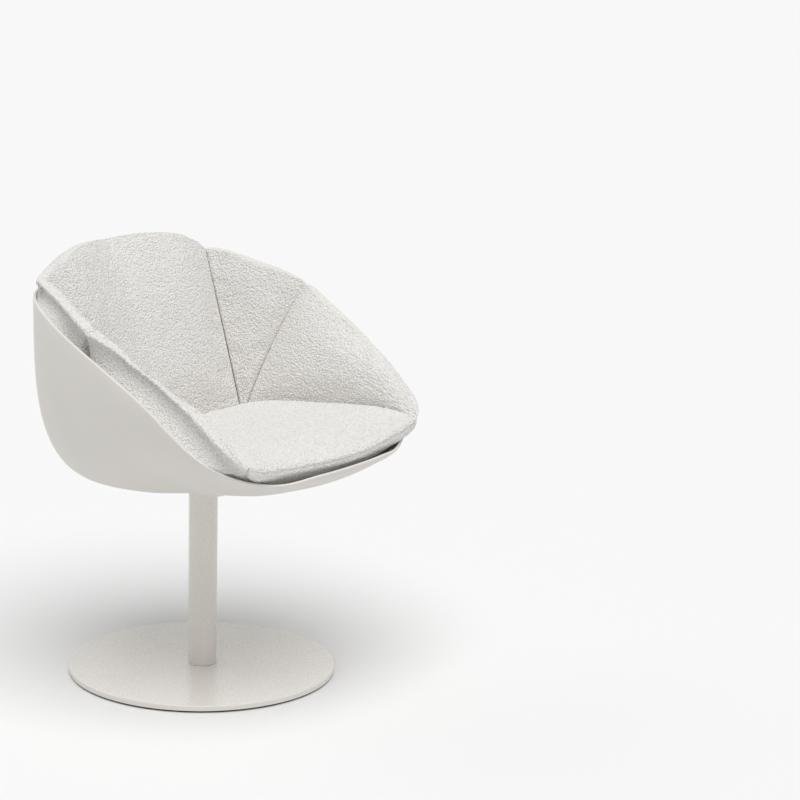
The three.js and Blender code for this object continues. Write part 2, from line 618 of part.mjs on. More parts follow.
// Depth runs from the face to the shell, and at the edge over the strip and down the band
function panelPoint(panel, [across, up], depth) {
  const face = facePoint(panel, across, up);
  const plain = mixPoint(face, liningPoint(azimuthOf(face), up), depth);
  const stations = stripPath(mix(...panel.edge, across));
  const place = THREE.MathUtils.clamp(depth, 0, 1) * (stations.length - 1);
  const cell = Math.min(Math.floor(place), stations.length - 2);
  const over = mixPoint(stations[cell], stations[cell + 1], place - cell);
  const chord = mixPoint(stations[0], stations[stations.length - 1], THREE.MathUtils.clamp(depth, 0, 1));
  return plain.addScaledVector(over.sub(chord), up ** STRIP_POWER);
}

// Closed block with a grid on each of its six faces: pointAt takes three shares from 0 to 1
function blockSolid(steps, pointAt) {
  const points = [];
  const triangles = [];
  [[0, 1, 2], [1, 2, 0], [2, 0, 1]].forEach(([a, b, c]) => [0, 1].forEach((end) => {
    const pointOf = (i, j) => {
      const shares = [0, 0, 0];
      shares[a] = i / steps[a];
      shares[b] = j / steps[b];
      shares[c] = end;
      return points.push(pointAt(...shares)) - 1;
    };
    for (let i = 0; i < steps[a]; i += 1) {
      for (let j = 0; j < steps[b]; j += 1) {
        const [p, q, r, s] = [pointOf(i, j), pointOf(i + 1, j), pointOf(i + 1, j + 1), pointOf(i, j + 1)];
        triangles.push(...(end ? [[p, q, r], [p, r, s]] : [[p, r, q], [p, s, r]]));
      }
    }
  }));
  return solidFrom(mergedGeometry(points, triangles));
}

// Padded panel: crowned face, sides drawn in between its edges, back lying on the shell
function panelSolid(panel) {
  const normal = panelNormal(panel);
  const padding = blockSolid(panel.steps, (across, up, depth) => {
    const pull = SIDE_PULL * Math.sin(Math.PI * depth);
    const margins = { side: PANEL_GAP / 2 + pull, crease: PANEL_GAP / 2 + pull, edge: pull / 2, tip: 0 };
    const crown = PANEL_CROWN * pillow(across) * pillow(up) * (1 - depth);
    return panelPoint(panel, marginPlace(panel, across, up, margins), depth).addScaledVector(normal, crown);
  });
  return padding.subtract(shellSpace);
}

// Pocket for the foam core in a panel's cover, open at the back
function panelPocket(panel) {
  const margins = { side: COVER_EDGE, crease: COVER_EDGE, edge: COVER_BAND, tip: TIP_TRIM };
  return blockSolid([...panel.coreSteps, 2], (across, up, end) => {
    const place = marginPlace(panel, across, up, margins);
    const depth = panelPoint(panel, place, 0).distanceTo(panelPoint(panel, place, 1));
    return panelPoint(panel, place, [COVER_FACE_SHARE, 1, 1 + POCKET_OVERRUN / depth][2 * end]);
  });
}

// Foam core: what the pad has in common with its pocket and with copies of the pocket moved by the fit
function coreIn(pad, pocket) {
  const moves = [1, -1].flatMap((way) => [[way, 0, 0], [0, way, 0], [0, 0, way]]);
  return moves.reduce(
    (core, move) => core.intersect(pocket.translate(move.map((way) => way * POCKET_FIT))),
    pad.intersect(pocket),
  );
}

// Seat pad: its border runs along the crease and then along the front edge seam
function seatBorder() {
  const creasePlaces = [...new Set(panels.flatMap(({ crease, foot }) =>
    Array.from({ length: foot + 1 }, (_, i) => mix(...crease, i / foot))))].sort((a, b) => a - b);
  const frontPlaces = Array.from({ length: SEAT_FRONT_STEPS - 1 }, (_, i) =>
    mix(TIP_DEGREES, 360 - TIP_DEGREES, (i + 1) / SEAT_FRONT_STEPS));
  const alongCrease = creasePlaces.map((place) => {
    const top = creasePoint(place);
    const share = mix(SEAT_SIDE_SHARE, 1, Math.max(0, Math.abs(place) - 1) ** 2);
    const foot = mixPoint(top, liningPoint(azimuthOf(top), 0), share);
    return { top, lip: mixPoint(top, foot, seatLipShare), foot, drop: PANEL_GAP / 2 };
  });
  const alongFront = frontPlaces.map((degrees) => {
    const top = edgePoint(degrees);
    const lip = drawnIn(top, FRONT_BAND_LEAN, FRONT_BAND);
    return { top, lip, foot: drawnIn(lip, FRONT_FOOT_INSET, 0), drop: 0 };
  });
  return [...alongCrease, ...alongFront];
}

const seatCentre = (z) => new THREE.Vector3(0, SEAT_CENTRE_Y, z);
const lining = CUSHION_CLEARANCE + PANEL_GAP;
const seatUndersideAt = (point) =>
  point.setZ(Math.max(SEAT_UNDERSIDE_Z, shellLevel(point.x, point.y, SHELL_WALL) + lining));

// A border point moved towards the seat's centre and down
function drawnIn(point, inward, down) {
  const centre = seatCentre(point.z);
  return point.clone().addScaledVector(centre.sub(point).normalize(), inward).setZ(point.z - down);
}

// The seat's top between its centre and a border point, lowered by a cover
function seatTopPoint(rim, share, cover) {
  const point = mixPoint(seatCentre(SEAT_CENTRE_Z), rim, share);
  const level = mix(SEAT_CENTRE_Z, rim.z, share * share);
  return point.setZ(level + SEAT_CROWN * (1 - share ** CROWN_POWER) - cover);
}

function seatSolid() {
  const border = seatBorder();
  const topAt = (share) => border.map(({ top, drop }) =>
    seatTopPoint(drawnIn(top, PANEL_GAP / 2, drop), share, 0));
  const waist = border.map(({ top, lip, drop }) =>
    drawnIn(mixPoint(top, lip, 1 / 2), PANEL_GAP / 2 + SIDE_PULL, drop));
  const lips = border.map(({ lip, drop }) => drawnIn(lip, PANEL_GAP / 2 + SIDE_PULL, drop));
  const feet = border.map(({ foot, drop }) => drawnIn(foot, PANEL_GAP / 2, drop));
  const underAt = (share) => border.map(({ foot }) => seatUndersideAt(mixPoint(seatCentre(0), foot, share)));
  const rows = [...seatFaceShares.map(topAt), waist, lips, feet, ...seatUnderShares.map(underAt)];
  const crest = seatCentre(SEAT_CENTRE_Z + SEAT_CROWN);
  return solidFrom(rowsGeometry(rows, crest, seatCentre(SEAT_UNDERSIDE_Z))).subtract(shellSpace);
}

// Pocket for the foam core in the seat's cover, open below
function seatPocket() {
  const border = seatBorder();
  const topAt = (share) => border.map(({ top }) => seatTopPoint(top, share, SEAT_COVER));
  const underAt = (share) => border.map(({ foot }) => {
    const point = seatUndersideAt(mixPoint(seatCentre(0), foot, share));
    return point.setZ(point.z - POCKET_OVERRUN);
  });
  const rows = [...coreTopShares.map(topAt), ...coreUnderShares.map(underAt)];
  const crest = seatCentre(SEAT_CENTRE_Z + SEAT_CROWN - SEAT_COVER);
  return solidFrom(rowsGeometry(rows, crest, seatCentre(SEAT_UNDERSIDE_Z - POCKET_OVERRUN)));
}

// Foam block that carries the seat pad on the floor of the shell
function foamBlock() {
  const angles = Array.from({ length: ROUND_SIDES }, (_, j) => 360 * j / ROUND_SIDES);
  const top = SEAT_UNDERSIDE_Z - TOUCH;
  const circle = (radius, centreY, zAt) => angles.map((degrees) => {
    const point = polar(radius, degrees, 0).add(new THREE.Vector3(0, centreY, 0));
    return point.setZ(zAt(point));
  });
  const rows = [
    circle(shellFlatRadius - BLOCK_EDGE, 0, () => shellFloorTop + TOUCH),
    circle(BLOCK_RADIUS, BLOCK_CENTRE_Y, (point) => shellLevel(point.x, point.y, SHELL_WALL) + BLOCK_EDGE),
    circle(BLOCK_RADIUS, BLOCK_CENTRE_Y, () => top - BLOCK_EDGE),
    circle(BLOCK_RADIUS - BLOCK_EDGE, BLOCK_CENTRE_Y, () => top),
  ];
  const start = new THREE.Vector3(0, 0, shellFloorTop + TOUCH);
  const body = solidFrom(rowsGeometry(rows, start, new THREE.Vector3(0, BLOCK_CENTRE_Y, top)));
  const pocketTop = insertFlangeTop() + POCKET_CLEARANCE;
  const pocket = rod(INSERT_FLANGE_RADIUS + POCKET_CLEARANCE, SHELL_UNDERSIDE_Z, pocketTop, SMALL_SIDES);
  return cutAll(body, boltPlaces.map(({ x, y }) => pocket.translate([x, y, 0])));
}

// Assembly
const pedestal = new THREE.Group();
const seat = new THREE.Group();

function addPiece(group, name, solid, look, place = { x: 0, y: 0 }) {
  const mesh = new THREE.Mesh(geometryFrom(solid), new THREE.MeshStandardMaterial(look));
  mesh.name = name;
  mesh.position.set(place.x, place.y, 0);
  group.add(mesh);
}

function addCushion(name, pad, pocket) {
  addPiece(seat, `${name}_foam`, coreIn(pad, pocket), foam);
  addPiece(seat, `${name}_cover`, pad.subtract(pocket), fabric);
}

addPiece(pedestal, 'base_underlay', baseUnderlay(), darkFelt);
addPiece(pedestal, 'base_disc', baseDisc(), paint);
baseScrewPlaces().forEach((place, i) =>
  addPiece(pedestal, `base_screw_${i + 1}`, baseScrew(), bareSteel, place));
addPiece(pedestal, 'column_foot_plug', columnFootPlug(), bareSteel);
addPiece(pedestal, 'column_tube', columnTube(), paint);
addPiece(pedestal, 'swivel_housing', swivelHousing(), bareSteel);
addPiece(pedestal, 'lower_bush', lowerBush(), nylon);
addPiece(pedestal, 'upper_bush', upperBush(), nylon);
addPiece(pedestal, 'thrust_washer', thrustWasher(), nylon);

addPiece(seat, 'swivel_spindle', swivelSpindle(), bareSteel);
addPiece(seat, 'retainer_washer', retainerWasher(), bareSteel);
addPiece(seat, 'retaining_ring', retainingRing(), bareSteel);
addPiece(seat, 'mounting_plate', mountingPlate(), paint);
boltPlaces.forEach((place, i) => {
  addPiece(seat, `plate_bolt_${i + 1}`, plateBolt(), bareSteel, place);
  addPiece(seat, `plate_washer_${i + 1}`, plateWasher(), bareSteel, place);
  addPiece(seat, `shell_insert_${i + 1}`, shellInsert(), bareSteel, place);
});
addPiece(seat, 'seat_shell', seatShell(), moulding);
addPiece(seat, 'seat_foam_block', foamBlock(), foam);
addCushion('seat', seatSolid(), seatPocket());
panels.forEach((panel) => addCushion(panel.name, panelSolid(panel), panelPocket(panel)));

const chair = new THREE.Group();
chair.add(pedestal, seat);

export default chair;
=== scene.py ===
# %% [markdown]
# # A pedestal swivel armchair
# A round steel base and a steel column carry a moulded tub shell. A folded cushion lies in the shell: a
# seat, a back, two wedges and two arms, all in one ecru boucle.
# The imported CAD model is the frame. It gives every body, every place and the one joint, so it is loaded
# first, and all that is made here is laid on it. Lengths below are in millimetres until they reach a mesh.

# %% Load the frame
import itertools
import math

import bpy
import numpy as np
from mathutils import Matrix, Vector


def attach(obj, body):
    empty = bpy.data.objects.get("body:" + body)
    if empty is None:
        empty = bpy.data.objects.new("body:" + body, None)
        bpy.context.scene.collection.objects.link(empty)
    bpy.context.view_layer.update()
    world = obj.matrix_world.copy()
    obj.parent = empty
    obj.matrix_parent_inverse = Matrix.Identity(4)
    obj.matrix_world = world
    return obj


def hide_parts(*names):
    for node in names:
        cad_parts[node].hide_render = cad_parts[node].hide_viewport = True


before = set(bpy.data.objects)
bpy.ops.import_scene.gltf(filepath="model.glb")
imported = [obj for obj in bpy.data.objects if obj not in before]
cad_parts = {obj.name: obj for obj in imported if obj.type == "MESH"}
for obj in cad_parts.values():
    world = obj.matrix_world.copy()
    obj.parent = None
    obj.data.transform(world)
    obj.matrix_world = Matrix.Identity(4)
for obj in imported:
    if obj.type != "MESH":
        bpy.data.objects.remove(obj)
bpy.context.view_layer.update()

# %% [markdown]
# ## Camera
# The photograph looks slightly down on the chair from its right front with a long lens. The viewpoint was
# worked out from the ellipses of the base and the rim, so it is written here as a place, a heading, a
# dip and a small roll. The axes of the camera follow from these by two turns.

# %% Camera
CAMERA_PLACE = (-3.5830, -2.8445, 1.5536)
CAMERA_HEADING = (0.8300, 0.5577)
CAMERA_DIP = 0.22056
CAMERA_ROLL = 0.02487
CAMERA_LENS = 113.6

across, along = CAMERA_HEADING
ahead = np.array([across * math.cos(CAMERA_DIP), along * math.cos(CAMERA_DIP), -math.sin(CAMERA_DIP)])
level = np.array([along, -across, 0.0])
above = np.cross(level, ahead)
right = level * math.cos(CAMERA_ROLL) + above * math.sin(CAMERA_ROLL)
top = above * math.cos(CAMERA_ROLL) - level * math.sin(CAMERA_ROLL)


def in_scene(name, data):
    """A new object in the scene that holds a mesh, a lamp or a camera."""
    made = bpy.data.objects.new(name, data)
    bpy.context.scene.collection.objects.link(made)
    return made


camera = in_scene("camera", bpy.data.cameras.new("camera"))
camera.data.lens = CAMERA_LENS
camera.data.clip_end = 200
turn = np.eye(4)
turn[:3, :3] = np.stack([right, top, -ahead], axis=1)
turn[:3, 3] = CAMERA_PLACE
camera.matrix_world = Matrix(turn.tolist())
bpy.context.scene.camera = camera
bpy.context.scene.view_settings.view_transform = "Standard"
print("camera looks along", ahead.round(3))

# %% [markdown]
# ## Small maths
# Every surface below is a formula on whole arrays. A point is the last axis of an array, so one call works
# for one point or for a whole grid of them.

# %% Array helpers
MM = 0.001


def mix(a, b, share):
    """a at share 0 and b at share 1, in a straight line between."""
    return a + (b - a) * share


def mix_points(a, b, share):
    """The same for points: each share moves its own point."""
    return mix(a, b, np.asarray(share)[..., None])


def length(vector):
    return np.linalg.norm(vector, axis=-1)


def unit(vector):
    return vector / length(vector)[..., None]


def polar(radius, degrees, z):
    """Point at a radius and an angle from the back (+Y) round towards the sitter's left (+X)."""
    turned_by = np.radians(degrees)
    return np.stack(np.broadcast_arrays(radius * np.sin(turned_by), radius * np.cos(turned_by), z), axis=-1)


def azimuth(points):
    return np.degrees(np.arctan2(points[..., 0], points[..., 1]))


def smooth_table(angles, values, degrees):
    """A cubic through each pair of knots, whose slope at a knot is the slope between its two neighbours.
    Angles are folded to 0..180, so both sides of the chair are alike."""
    angles, values = np.asarray(angles, float), np.asarray(values, float)
    angle = np.abs((np.asarray(degrees, float) + 180) % 360 - 180)
    knots = np.concatenate([[-angles[1]], angles, [360 - angles[-2]]])
    heights = np.concatenate([[values[1]], values, [values[-2]]])
    slopes = (heights[2:] - heights[:-2]) / (knots[2:] - knots[:-2])
    cell = np.clip(np.searchsorted(angles, angle, side="right") - 1, 0, len(angles) - 2)
    width = np.diff(angles)[cell]
    s = (angle - angles[cell]) / width
    return (
        (2 * s**3 - 3 * s**2 + 1) * values[cell]
        + (s**3 - 2 * s**2 + s) * width * slopes[cell]
        + (3 * s**2 - 2 * s**3) * values[cell + 1]
        + (s**3 - s**2) * width * slopes[cell + 1]
    )


print("smooth table at 45 degrees", smooth_table([0, 90, 180], [0, 1, 0], 45).round(3))

# %% [markdown]
# ## Grids into meshes
# A grid of points becomes quads between neighbouring rows and columns. A row can close on itself, as round
# a turned part, and a pole closes the end. The signed volume says whether the faces point outwards, and
# the corners are reversed where they don't, so no surface is ever inside out.

# %% Mesh helpers
def grid_quads(rows, columns, wrap_rows=False, wrap_columns=True):
    """Corner numbers of the quads between neighbouring points of a grid that is stored row by row."""
    i, j = np.meshgrid(
        np.arange(rows if wrap_rows else rows - 1),
        np.arange(columns if wrap_columns else columns - 1),
        indexing="ij",
    )
    under, beside = (i + 1) % rows, (j + 1) % columns
    corners = [i * columns + j, i * columns + beside, under * columns + beside, under * columns + j]
    return np.stack(corners, axis=-1).reshape(-1, 4)


def volume_of(points, faces):
    """Sum over the faces' triangles of a . (b x c) / 6: positive where the faces point outwards."""
    fans = [points[faces[:, [0, k, k + 1]]] for k in range(1, faces.shape[1] - 1)]
    return sum(np.einsum("ij,ij->", fan[:, 0], np.cross(fan[:, 1], fan[:, 2])) for fan in fans) / 6


def mesh_from(name, points, *face_sets):
    """Points in millimetres and sets of quads or triangles become one smooth mesh in metres."""
    points = np.asarray(points, float).reshape(-1, 3)
    if sum(volume_of(points, faces) for faces in face_sets) < 0:
        face_sets = [faces[:, ::-1] for faces in face_sets]
    mesh = bpy.data.meshes.new(name)
    mesh.from_pydata((points * MM).tolist(), [], [f for faces in face_sets for f in faces.tolist()])
    mesh.polygons.foreach_set("use_smooth", np.ones(len(mesh.polygons), bool))
    mesh.update()
    return mesh


def tube_mesh(name, rows, poles):
    """Closed mesh from rows that each run round the piece. With poles the first and last row end in a
    point each; without, the last row joins the first, as in a ring."""
    rows = np.asarray(rows, float)
    count, columns = rows.shape[:2]
    quads = grid_quads(count, columns, wrap_rows=not poles)
    if not poles:
        return mesh_from(name, rows, quads)
    ends = np.stack([rows[0].mean(axis=0), rows[-1].mean(axis=0)])
    ring, first_pole, last = np.arange(columns), count * columns, (count - 1) * columns
    beside = (ring + 1) % columns
    start = np.stack([0 * ring + first_pole, beside, ring], axis=-1)
    end = np.stack([0 * ring + first_pole + 1, last + ring, last + beside], axis=-1)
    return mesh_from(name, np.concatenate([rows.reshape(-1, 3), ends]), quads, start, end)

# %% [markdown]
# ## Shader maths
# One small class wraps a socket, so that a pattern can be written as a sum. Each operator adds a Math
# node. All other nodes come from one method that takes the node's type, its settings and its sockets.

# %% Finish class
class Amount:
    """A number that changes over a surface. An operator on it adds a Math node."""

    def __init__(self, finish, socket):
        self.finish, self.socket = finish, socket

    def math(self, operation, *values):
        return self.finish.node("Math", {"operation": operation}, dict(enumerate(values)))

    __add__ = __radd__ = lambda self, other: self.math("ADD", self, other)
    __mul__ = __rmul__ = lambda self, other: self.math("MULTIPLY", self, other)
    __sub__ = lambda self, other: self.math("SUBTRACT", self, other)
    __rsub__ = lambda self, other: self.math("SUBTRACT", other, self)


class Finish:
    """The nodes of a material or a world round its one shader, whose constants are set on its own sockets."""

    def __init__(self, owner, shader="Principled BSDF", **constants):
        self.owner = owner
        owner.use_nodes = True
        self.nodes, self.links = owner.node_tree.nodes, owner.node_tree.links
        self.shader = self.nodes[shader]
        self.set(**{key.replace("_", " "): value for key, value in constants.items()})

    def feed(self, socket, value):
        if isinstance(value, Amount):
            self.links.new(value.socket, socket)
        else:
            socket.default_value = value

    def node(self, kind, settings=None, sockets=None, output=0):
        """Adds a node of a type: its settings first, a ramp's stops among them, then its sockets."""
        made = self.nodes.new("ShaderNode" + kind)
        for key, value in (settings or {}).items():
            if key == "stops":
                ramp = made.color_ramp.elements
                for element, (place, colour) in zip([ramp[0], ramp[1]], value):
                    element.position, element.color = place, colour
            else:
                setattr(made, key, value)
        for key, value in (sockets or {}).items():
            self.feed(made.inputs[key], value)
        return Amount(self, made.outputs[output])

    def set(self, **sockets):
        for key, value in sockets.items():
            self.feed(self.shader.inputs[key], value)

    def place(self):
        """Where a point lies on the piece, in metres."""
        return self.node("TexCoord", output="Object")

    def noise(self, grain, detail=2.0, seed=0.0):
        """Soft noise from 0 to 1, whose lumps are about as wide as the grain, in millimetres."""
        sockets = {"Vector": self.place(), "Scale": 1 / (grain * MM), "Detail": detail, "W": seed}
        return self.node("TexNoise", {"noise_dimensions": "4D"}, sockets)

    def blend(self, share, low, high):
        """Colour between two others, by a share."""
        stops = [(0.0, (*low, 1)), (1.0, (*high, 1))]
        return self.node("ValToRGB", {"stops": stops}, {"Fac": share})

    def relief(self, height, depth):
        """Normal for a height from 0 to 1 that stands as many millimetres high."""
        return self.node("Bump", None, {"Height": height, "Distance": depth * MM, "Strength": 1.0}, "Normal")

# %% [markdown]
# ## Hard finishes
# The shell is moulded and the metal is powder coated in nearly the same warm greige. What tells them
# apart is the skin: moulded plastic is matt, with a very fine spark texture, and baked powder is smoother
# and glossier, with the low dimples of orange peel. A slow, faint change of colour keeps either from
# looking like a flat fill. The underlay is dark felt, and the bearing, the bolts and the foam are plain
# inside parts.

# %% Hard materials
SHELL_GREIGE = np.array([0.700, 0.677, 0.640])
STEEL_GREIGE = np.array([0.750, 0.722, 0.675])
PATCH, DARKER, LIGHTER = 90.0, 0.965, 1.03
ROUGHNESS_SPREAD = 0.06


def coated(name, colour, grain, depth, roughness, metallic=0.0, shine=0.5):
    """Colour that drifts by a few percent in wide patches, over a skin of small dimples."""
    finish = Finish(bpy.data.materials.new(name), Metallic=metallic, Specular_IOR_Level=shine)
    drift = finish.blend(finish.noise(PATCH), colour * DARKER, np.minimum(colour * LIGHTER, 1))
    skin = finish.noise(grain, detail=3.0)
    rough = roughness - ROUGHNESS_SPREAD + 2 * ROUGHNESS_SPREAD * skin
    finish.set(**{"Base Color": drift, "Roughness": rough, "Normal": finish.relief(skin, depth)})
    return finish.owner


materials = {
    "shell": coated("moulded_greige", SHELL_GREIGE, 1.1, 0.035, 0.50),
    "powder_coated_steel": coated("powder_coat_greige", STEEL_GREIGE, 1.6, 0.010, 0.27, shine=0.9),
    "bare_steel": coated("bare_steel", np.array([0.42, 0.43, 0.44]), 0.8, 0.01, 0.34, 1.0),
    "underlay": coated("dark_felt", np.array([0.040, 0.038, 0.036]), 0.9, 0.25, 0.93),
    "bearing_plastic": coated("bearing_nylon", np.array([0.78, 0.75, 0.68]), 0.9, 0.02, 0.45),
    "foam": coated("cushion_foam", np.array([0.68, 0.56, 0.30]), 1.2, 0.30, 0.92),
}
print("hard finishes", sorted(materials))

# %% [markdown]
# ## Boucle
# Boucle is woven from yarn with loops in it, so its face is a field of soft nubs a few millimetres across
# with shaded gaps between them. Larger nubs will be real relief in the mesh, further down. The
# material adds what is finer: loops from a Voronoi pattern, fibre noise on top, painted shade in the
# gaps between the loops, a painted highlight on each loop's tip and a slight change of tone from yarn to yarn.

# %% Boucle material
LOOP, FIBRE, YARN_PATCH = 3.4, 0.9, 14.0
WANDER_GRAIN, WANDER_SHARE = 6.0, 0.0016
# The loops' share of the tone is painted shade in the gaps and a painted highlight on the tips
LOOP_SHADE_TONE, YARN_TONE, FIBRE_TONE, TONE_BELOW = 0.62, 0.25, 0.30, 0.05
TUFT_RELIEF, FIBRE_RELIEF, LOOP_DEPTH = 0.8, 0.2, 3.0
ECRU = np.array([0.945, 0.935, 0.915])
# Factors on the colour at the two ends of the tone: painted shade in the gaps with the darkest yarn, and a painted
# highlight on the tips with the palest yarn
GAP_SHADE_AND_DARK_YARN, TIP_HIGHLIGHT_AND_PALE_YARN = np.array([0.68, 0.655, 0.63]), 1.06


def boucle(name, colour):
    finish = Finish(bpy.data.materials.new(name), Roughness=0.95, Sheen_Weight=0.25, Sheen_Roughness=0.6)
    wander = finish.node("TexNoise", None, {"Vector": finish.place(), "Scale": 1 / (WANDER_GRAIN * MM)}, "Color")
    bent = finish.node("Mix", {"data_type": "VECTOR"}, {0: WANDER_SHARE, 4: finish.place(), 5: wander}, 1)
    cells = {"Vector": bent, "Scale": 1 / (LOOP * MM), "Randomness": 1.0}
    tuft = 1 - finish.node("TexVoronoi", {"feature": "F1"}, cells, "Distance")
    fibre = finish.noise(FIBRE, detail=3.0)
    # Tone: painted shade and highlight by the loops' height, plus the yarn's and the fibres' own changes of tone
    tone = LOOP_SHADE_TONE * tuft + YARN_TONE * finish.noise(YARN_PATCH) + FIBRE_TONE * fibre - TONE_BELOW
    finish.set(**{"Base Color": finish.blend(tone, colour * GAP_SHADE_AND_DARK_YARN, np.minimum(colour * TIP_HIGHLIGHT_AND_PALE_YARN, 1))})
    finish.set(Normal=finish.relief(TUFT_RELIEF * tuft + FIBRE_RELIEF * fibre, LOOP_DEPTH))
    return finish.owner


materials["upholstery"] = boucle("ecru_boucle", ECRU)

# %% [markdown]
# ## The parts that stay as they are in the CAD
# The bearing, its fixings and the foam sit out of sight. Their shapes are right, so the nodes stay and only
# get the finish of their slot in the record.

# %% Materials on the CAD nodes
FINISH_BY_WORD = {
    "foam": "foam", "cover": "upholstery", "bush": "bearing_plastic", "thrust": "bearing_plastic",
    "base_disc": "powder_coated_steel", "column_tube": "powder_coated_steel",
    "mounting_plate": "powder_coated_steel", "underlay": "underlay", "seat_shell": "shell",
}
for name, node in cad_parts.items():
    slot = next((s for word, s in FINISH_BY_WORD.items() if word in name), "bare_steel")
    node.data.materials.clear()
    node.data.materials.append(materials[slot])
print(len(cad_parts), "CAD nodes have a finish")

# %% [markdown]
# ## Base, column and plate
# The base is a flat steel disc, the column a tube and the seat plate a square with round corners. Each is
# an outline carried round the axis. Real edges are never sharp, so the outline is eased: a short curve
# stands at each corner, and two more points beside it keep the flat faces flat in the shading.

# %% Turned parts
BASE_RADIUS, BASE_BOTTOM, BASE_TOP = 250, 3.3, 13.3
UNDERLAY_RADIUS, UNDERLAY_TOP = 245, 3
COLUMN_RADIUS, COLUMN_BORE, COLUMN_BOTTOM, COLUMN_TOP = 27, 24, 13.6, 366.2
EASE_STEPS, SUPPORT = 5, 1.5
DISC_SIDES, TUBE_SIDES = 192, 96


def add_piece(mesh, body, slot, *nodes):
    """Puts a mesh in the scene with its slot's finish, on the body that it rides, in place of CAD nodes."""
    piece = in_scene(mesh.name, mesh)
    piece.data.materials.append(materials[slot])
    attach(piece, body)
    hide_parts(*nodes)
    return piece


def eased(corners, radii):
    """Outline with rounded corners. Each corner P becomes the curve (1-s)^2 A + 2s(1-s) P + s^2 B, where A
    and B lie on the two sides at the corner's radius. A corner of radius 0 stays sharp."""
    corners = np.asarray(corners, float)
    s = np.linspace(0, 1, EASE_STEPS + 1)[:, None]
    outline = []
    for i, (corner, radius) in enumerate(zip(corners, radii)):
        back, on = (unit(corners[k % len(corners)] - corner) * radius for k in (i - 1, i + 1))
        curve = (1 - s) ** 2 * (corner + back) + 2 * s * (1 - s) * corner + s**2 * (corner + on)
        rounded = np.concatenate([[corner + back * SUPPORT], curve, [corner + on * SUPPORT]])
        outline.append(rounded if radius else corner[None])
    return np.concatenate(outline)


def ring_outline(bore, radius, bottom, top, radii):
    """Outline of a ring as [radius, z], from the bore out and back, with its four corners eased."""
    return eased([[bore, bottom], [radius, bottom], [radius, top], [bore, top]], radii)


def turned_rows(outline, sides, shape=1.0):
    """Rows round Z, one for each [radius, z] of the outline. The shape is a factor on the radius by angle."""
    return polar(outline[:, :1] * shape, np.arange(sides) * 360 / sides, outline[:, 1:2])


# A disc's outline starts and ends on the axis, and these two points are left to the poles
base_outline = ring_outline(0, BASE_RADIUS, BASE_BOTTOM, BASE_TOP, [0, 1.2, 1.8, 0])[1:-1]
felt_outline = ring_outline(0, UNDERLAY_RADIUS, 0, UNDERLAY_TOP, [0, 0.5, 0.5, 0])[1:-1]
tube_outline = ring_outline(COLUMN_BORE, COLUMN_RADIUS, COLUMN_BOTTOM, COLUMN_TOP, [0.4, 0.7, 0.7, 0.4])
for name, node, slot, outline, sides, poles in (
    ("base_plate", "base_disc", "powder_coated_steel", base_outline, DISC_SIDES, True),
    ("floor_felt", "base_underlay", "underlay", felt_outline, DISC_SIDES, True),
    ("column", "column_tube", "powder_coated_steel", tube_outline, TUBE_SIDES, False),
):
    add_piece(tube_mesh(name, turned_rows(outline, sides), poles), "pedestal", slot, node)
    print(name, "from", len(outline), "points of outline,", sides, "round")

# %% [markdown]
# The plate's outline runs round a square whose corners are quarter circles. The same eased edge goes round
# it: each row is that outline, drawn in by as much as the edge has curved away.

# %% Seat plate, bolts and washers
PLATE_HALF, PLATE_CORNER, PLATE_FORWARD = 85, 22, 12
PLATE_BOTTOM, PLATE_TOP, PLATE_EDGE, PLATE_FLAT = 367.7, 373.7, 1.2, -20
BOLT_REACH = 55
BOLT_HEAD_RADIUS, BOLT_HEAD_HEIGHT, SOCKET_RADIUS, SOCKET_DEPTH = 7, 4.4, 2.9, 2.6
SHANK_RADIUS, SHANK_TOP = 4, 380.6
HEAD_GAP, HEAD_SKIRT, HEAD_EDGE, HEAD_FLAT, DOME_START = 0.3, 0.8, 0.2, 0.5, 0.55
HEAD_CHAMFER, SOCKET_FLOOR, SOCKET_FLARE = 0.3, 0.2, 1.08
WASHER_TOP, WASHER_BOTTOM, WASHER_RADIUS, WASHER_BORE = 367.4, 365.8, 8, 4.4
bolt_places = [(i * BOLT_REACH, j * BOLT_REACH - PLATE_FORWARD) for i, j in ((-1, -1), (1, -1), (1, 1), (-1, 1))]


def plate_row(inset, z):
    """Points round the plate at one height: a quarter circle at each corner, drawn in by the inset."""
    flat = PLATE_HALF - PLATE_CORNER
    return np.concatenate([
        polar(PLATE_CORNER + inset, np.linspace(0, 90, 9) + 90 * k, z) + [i * flat, j * flat - PLATE_FORWARD, 0]
        for k, (i, j) in enumerate([(1, 1), (1, -1), (-1, -1), (-1, 1)])
    ])


edge = eased(
    [[0, PLATE_BOTTOM], [0, PLATE_TOP], [PLATE_FLAT, PLATE_TOP], [PLATE_FLAT, PLATE_BOTTOM]],
    [PLATE_EDGE, PLATE_EDGE, 0, 0],
)
edge = np.concatenate([edge[-1:], edge[:-1]])
plate_mesh = tube_mesh("seat_plate", [plate_row(*point) for point in edge], poles=True)
add_piece(plate_mesh, "seat", "powder_coated_steel", "mounting_plate")

